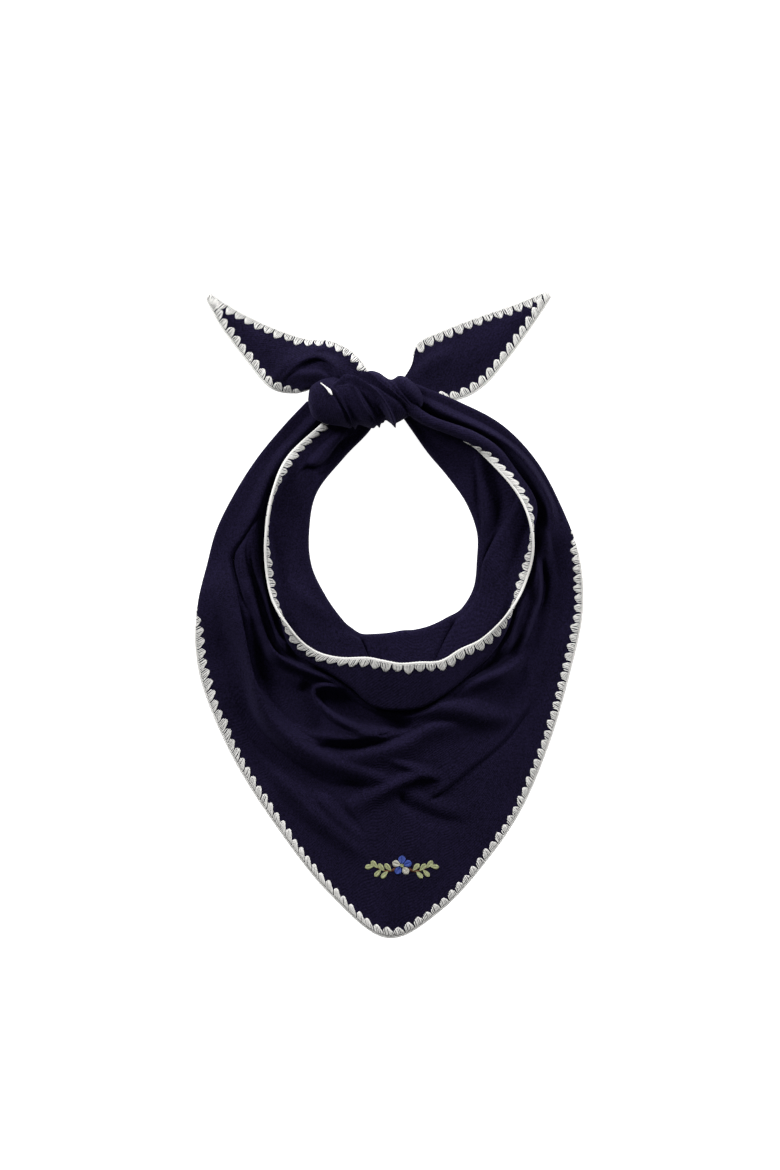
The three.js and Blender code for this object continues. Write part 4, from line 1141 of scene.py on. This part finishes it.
hem_strip = edge_strip(loop)
rim_strip = edge_strip(loop[:, ::-1])
rim_strip[..., 3:] *= -1
print("strips along the hem and the rim:", hem_strip.shape, rim_strip.shape)

# %% [markdown]
# The shells are counted along the edge with a distance that changes slowly, as a hand works them, and
# their tips stand a little ahead or behind. The yarns of a fan start side by side, arch over the
# cloth and end closer together, the middle ones deepest, which gives the rounded tip.

# %% Fans and cord
SHELL_REACH = 8.2  # length of the middle yarn of a fan
SHELL_YARNS = 7
TIP_ROUND = 0.3  # how much shorter the outer yarns are, as a share
FAN_HALF, FAN_CLOSES = 0.4, 0.11  # half width of a fan in distances between shells, and its loss
YARN_HALF = 0.44  # half thickness of a fan yarn
CORD_HALF = 1.15  # half thickness of the cord
CORD_OUT = 0.9  # distance of the cord's middle from the cloth's edge
CORD_WAVE = 2.8  # length of one loop of the cord
CORD_SWELL = 0.15  # how much each loop stands out
# how fans differ: by a share of their length, and in millimetres at the tip and midway along each yarn
REACH_VARIES, TIP_VARIES, YARN_VARIES = 0.07, 0.3, 0.25
YARN_START = 0.4  # the yarns start inside the cord, at this share of its distance from the edge
YARN_FLAT = 0.85  # height of a yarn beside its width
YARN_PLACES, YARN_SIDES, CORD_SIDES = 7, 6, 10  # points along a yarn, round a yarn and round the cord


def edging(strip, shown, seed, pitches, leans, cord_from=0):
    """The fans and the cord of one edge. shown(row) says where shells are worked."""
    chance = np.random.default_rng(seed)
    edge = strip[:, AT_EDGE, :3]
    along = run_length(edge)
    pitch_at = lambda s: np.interp(s / along[-1], (0, 0.5, 1), pitches)[:, None, None]
    counted = np.append(0, np.cumsum(np.diff(along) / pitch_at(along[1:])[:, 0, 0]))
    centre = np.interp(np.arange(int(counted[-1])) + 0.5, counted, along)
    row_at = lambda s: np.interp(s, along, np.arange(len(edge)))
    centre = centre[shown(row_at(centre))]
    parts = []
    t = np.linspace(-1, 1, SHELL_YARNS)[None, :, None]
    q = np.linspace(0, 1, YARN_PLACES)[None, None, :]
    for side in (1, -1):
        size = (len(centre), 1, 1)
        reach = SHELL_REACH * (1 + REACH_VARIES * chance.standard_normal(size)) * (1 - TIP_ROUND * t**2)
        lean = np.interp(centre / along[-1], (0, 1), leans)[:, None, None]
        lean = lean + TIP_VARIES * chance.standard_normal(size)
        loose = YARN_VARIES * chance.standard_normal((len(centre), SHELL_YARNS, 1))
        spread = pitch_at(centre) * (FAN_HALF - FAN_CLOSES * q**4)
        s = centre[:, None, None] + t * spread + lean * q**1.5 + loose * np.sin(np.pi * q)
        depth = -CORD_OUT * YARN_START + reach * q
        place, normal = on_strip(strip, row_at(s), depth)
        # a yarn rises at the edge, lies on the cloth and dips at its tip
        arch = np.sin(np.pi * np.clip(q * 0.9 + 0.1, 0, 1)) ** 0.7
        lift = CLOTH / 2 + YARN_HALF * (0.55 + 0.9 * arch - 0.7 * q**6)
        place = place + side * normal * lift[..., None]
        shape = (-1, q.shape[-1], 3)
        # it swells a little on its way and is drawn in at the very end
        thick = YARN_HALF * (0.85 + 0.3 * q - 0.25 * q**8) + 0 * s
        place = place.reshape(shape)
        thick = thick.reshape(len(place), -1)
        parts.append(yarns(place, side * normal.reshape(shape), thick, thick * YARN_FLAT, YARN_SIDES))
    steps = np.arange(along[cord_from], along[-1], 1.0)
    place, normal = on_strip(strip, row_at(steps), np.full(len(steps), -CORD_OUT))
    wave = CORD_SWELL * np.sin(2 * np.pi * steps / CORD_WAVE)[None]
    parts.append(yarns(place[None], normal[None], CORD_HALF + wave, CORD_HALF + 0 * wave, CORD_SIDES))
    points, faces, uv = joined(parts)
    points[:, 2] = np.maximum(points[:, 2], 0.02)
    return points, faces, uv


# %% [markdown]
# The hem shows its shells nearly all round. The rim has them from where it comes out from under the
# loop, on the left and on the right, and round the point.

# %% Edgings of the neck and the bib
# distance from shell to shell at the start, the middle and the end of an edge
NECK_PITCH, BIB_PITCH, TAIL_PITCH = (9.0, 9.8, 8.5), (9.9, 9.8, 8.3), (9.5, 9.5, 9.5)
# how far the tips stand ahead along the edge, at its start and at its end
NECK_LEAN, BIB_LEAN, TAIL_LEAN = (1.8, -1.8), (-2.6, -2.6), (-1.5, -1.5)
HEM_SHELLS, RIM_SHELLS = (0, 22), (5.5, 19.5)  # first and last section with shells


def in_sections(first, last):
    """A test of whether a row of the loop lies between two section numbers."""
    def test(row):
        section = np.interp(row, np.arange(ROWS), section_at)
        return (section > first) & (section < last)
    return test


def edging_piece(name, made, cad_node):
    """The edging as a piece that rides on the scarf and stands for its CAD node."""
    points, faces, uv = made
    piece = mesh_piece(name, points, faces, uv, [edging_yarn])
    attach(piece, "root")
    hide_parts(cad_node)
    return piece


made = edging(hem_strip, in_sections(*HEM_SHELLS), 3, NECK_PITCH, NECK_LEAN)
neck_edging = edging_piece("neck_shells", made, "neck_edging")
made = edging(rim_strip, in_sections(*RIM_SHELLS), 5, BIB_PITCH, BIB_LEAN)
bib_edging = edging_piece("bib_shells", made, "bib_edging")

# %% [markdown]
# A tail has two stitched edges that meet at its point, so its strip is the upper edge from the knot
# to the point followed by the lower edge back to the knot. A last short end of the left tail's cord
# shows between that tail and the knot, where it lies on the knot's first roll.

# %% Tail edgings
END_OF_EDGE = [(-61.5, 205.5), (-57.4, 202), (-54, 198.6), (-51.2, 194.2)]
END_HALF = ((0, 0.35, 0.75, 1), (0.4, 0.6, 1.6, 0.5))  # its half widths, at shares of its length
END_ABOVE, END_FLAT = 1.2, 0.6  # how far its middle lies over the knot, and its height beside its width
# first and last row with shells, first row with the cord
TAIL_SHELLS = {"left_tail": (6, 194, 0), "right_tail": (30, 212, 26)}


def height_of(cloth, places):
    """Height of a surface at places in plan: its points, weighted by 1 / (distance^2 + 0.5)^3."""
    away = ((places[..., None, :] - cloth[:, :2]) ** 2).sum(-1)
    weight = 1 / (away + 0.5) ** 3
    return (weight * cloth[:, 2]).sum(-1) / weight.sum(-1)


end = even_path(END_OF_EDGE, 1.0)
front = knot_grid[knot_grid[..., 2] > KNOT_MIDDLE]
end = np.column_stack([end, height_of(front, end) + END_ABOVE])
half = np.interp(np.linspace(0, 1, len(end)), *END_HALF)[None]
upright = np.tile([0.0, 0.0, 1.0], (1, len(end), 1))
strand_end = yarns(end[None], upright, half, END_FLAT * half, CORD_SIDES)
for seed, (name, grid) in enumerate(tails.items()):
    towards_tip = grid[::-1] if name == "left_tail" else grid
    upper = edge_strip(towards_tip)
    lower = edge_strip(towards_tip[::-1, ::-1])
    if name == "left_tail":
        upper[..., 3:] *= -1
        lower[..., 3:] *= -1
    strip = np.concatenate([upper, lower])
    first, last, cord_from = TAIL_SHELLS[name]
    shown = lambda row, first=first, last=last: (row > first) & (row < last)
    made = edging(strip, shown, 11 + seed, TAIL_PITCH, TAIL_LEAN, cord_from)
    if name == "left_tail":
        made = joined([made, strand_end])
    edging_piece(name + "_shells", made, name + "_edging")

# %% [markdown]
# ## Embroidery
#
# Near the point of the bib sits a small embroidered spray: a five-petal flower between two leafy
# twigs. Satin stitch is thread laid side by side across a shape, so each petal and leaf is a row of
# short threads from one side of its outline to the other, and a twig is a chain of slanting stitches.

# %% Stitches on the cloth
SPRAY = (11, -227)  # middle of the spray
SPRAY_HALF = 45  # half the side of the square of cloth round it
THREAD_HALF = 0.28  # half thickness of a thread
THREADS_SINK = 0.2  # how deep the stitches press into the cloth


def satin_leaf(foot, angle, length, width, count, slant):
    """Stitches across a leaf from foot to tip. Its half width is width / 2 * sin(pi q^0.85)^0.8."""
    q = (np.arange(count) + 0.5) / count
    half = 0.5 * width * np.sin(np.pi * q**0.85) ** 0.8
    middle = q * length
    ahead = np.array([np.cos(angle), np.sin(angle)])
    side = np.array([-ahead[1], ahead[0]])
    out = []
    for sign in (-1, 1):
        t = np.linspace(0, 1, 4)[None, :, None]
        start = foot + middle[:, None, None] * ahead
        end = start + sign * half[:, None, None] * side + slant * half[:, None, None] * ahead
        out.append(start + (end - start) * t)
    return np.concatenate(out)


def cloth_top(places):
    """Height of the cloth's front at places on the bib."""
    first = loop.shape[1] - RIM_CURL - RIM_TUCK - OUTER
    bib = loop[:, first:].reshape(-1, 3)
    near = (np.abs(bib[:, :2] - np.array(SPRAY)) < SPRAY_HALF).all(1)
    return height_of(bib[near], places) + CLOTH / 2


def stitched(paths, above, thick):
    """Threads over flat paths on the cloth, each raised in its middle as a stitch is."""
    t = np.linspace(0, 1, paths.shape[1])
    z = cloth_top(paths) + above + thick * (0.4 + 0.9 * np.sin(np.pi * t))
    full = np.concatenate([paths, z[..., None]], -1)
    ups = np.zeros_like(full)
    ups[..., 2] = 1
    width = np.full(paths.shape[:2], thick)
    return yarns(full, ups, width, width * 0.8, 5)


# %% [markdown]
# The flower has blue and cream petals by turns round a green middle. On either side a brown twig
# bends away from it with leaves on both sides and one at its end, the right half a mirror image.

# %% Spray
PETALS = 5
PETAL_FOOT = 1.6  # distance of a petal's foot from the flower's middle
PETAL_SIZE, LEAF_SIZE = (7.4, 6.4), (8.2, 4.4)  # length and width
PETAL_SLANT, LEAF_SLANT = 0.35, 0.8  # how far a stitch runs ahead for each millimetre across
STITCHES = 15  # on either side of a petal or leaf
TWIG_FROM, TWIG_LONG, TWIG_BOW, TWIG_HALF = 6, 19, 5, 0.9  # start, length, depth of its bow, half width
TWIG_STITCHES = 26
# how high the threads of each lie
PETAL_HIGH, MIDDLE_HIGH, TWIG_HIGH, LEAF_HIGH = 0.5, 1.3, 0.2, 0.4
BLUE, CREAM, GREEN, BROWN = range(len(THREADS))
LEAVES = ((5, 1), (9, -1), (13, 1), (17, -1), (21, 1), (25, 0))  # place on the twig, side of it
LEAF_ANGLE, END_LEAF_ANGLE = np.radians(48), -0.2


def spray_parts():
    """Finish number, threads and height over the cloth of the petals, the middle, twigs and leaves."""
    parts = []
    for k in range(PETALS):
        angle = np.pi / 2 + 2 * np.pi * k / PETALS
        foot = np.array([np.cos(angle), np.sin(angle)]) * PETAL_FOOT
        petal = satin_leaf(foot, angle, *PETAL_SIZE, STITCHES, PETAL_SLANT)
        parts.append((CREAM if k % 2 else BLUE, petal, PETAL_HIGH))
    dots = 2 * np.pi * np.arange(9) / 9
    spot = np.stack([np.cos(dots), np.sin(dots)], -1)[:, None] * np.array([0.2, 1.0, 1.8])[:, None]
    parts.append((GREEN, spot, MIDDLE_HIGH))
    for sign in (-1, 1):
        q = np.linspace(0, 1, TWIG_STITCHES)
        bow = -TWIG_BOW * np.sin(np.pi * (0.2 + 0.8 * q))
        twig = np.stack([sign * (TWIG_FROM + q * TWIG_LONG), bow], -1)
        slant = np.array([TWIG_HALF * sign, TWIG_HALF])
        parts.append((BROWN, np.stack([twig - slant, twig, twig + slant], 1), TWIG_HIGH))
        for at, side in LEAVES:
            lie = LEAF_ANGLE * side if side else END_LEAF_ANGLE
            angle = lie if sign > 0 else np.pi - lie
            leaf = satin_leaf(twig[at], angle, *LEAF_SIZE, STITCHES, LEAF_SLANT)
            parts.append((GREEN, leaf, LEAF_HIGH))
    return parts


made, kinds = [], []
for thread, paths, raise_by in spray_parts():
    part = stitched(paths + np.array(SPRAY), raise_by - THREADS_SINK, THREAD_HALF)
    made.append(part)
    kinds.append([np.full(len(f), thread) for f in part[1]])
points, faces, uv = joined(made)
spray = mesh_piece("spray_threads", points, faces, uv, thread_finishes,
                   np.concatenate([k for part in kinds for k in part]))
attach(spray, "root")
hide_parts("embroidered_spray")
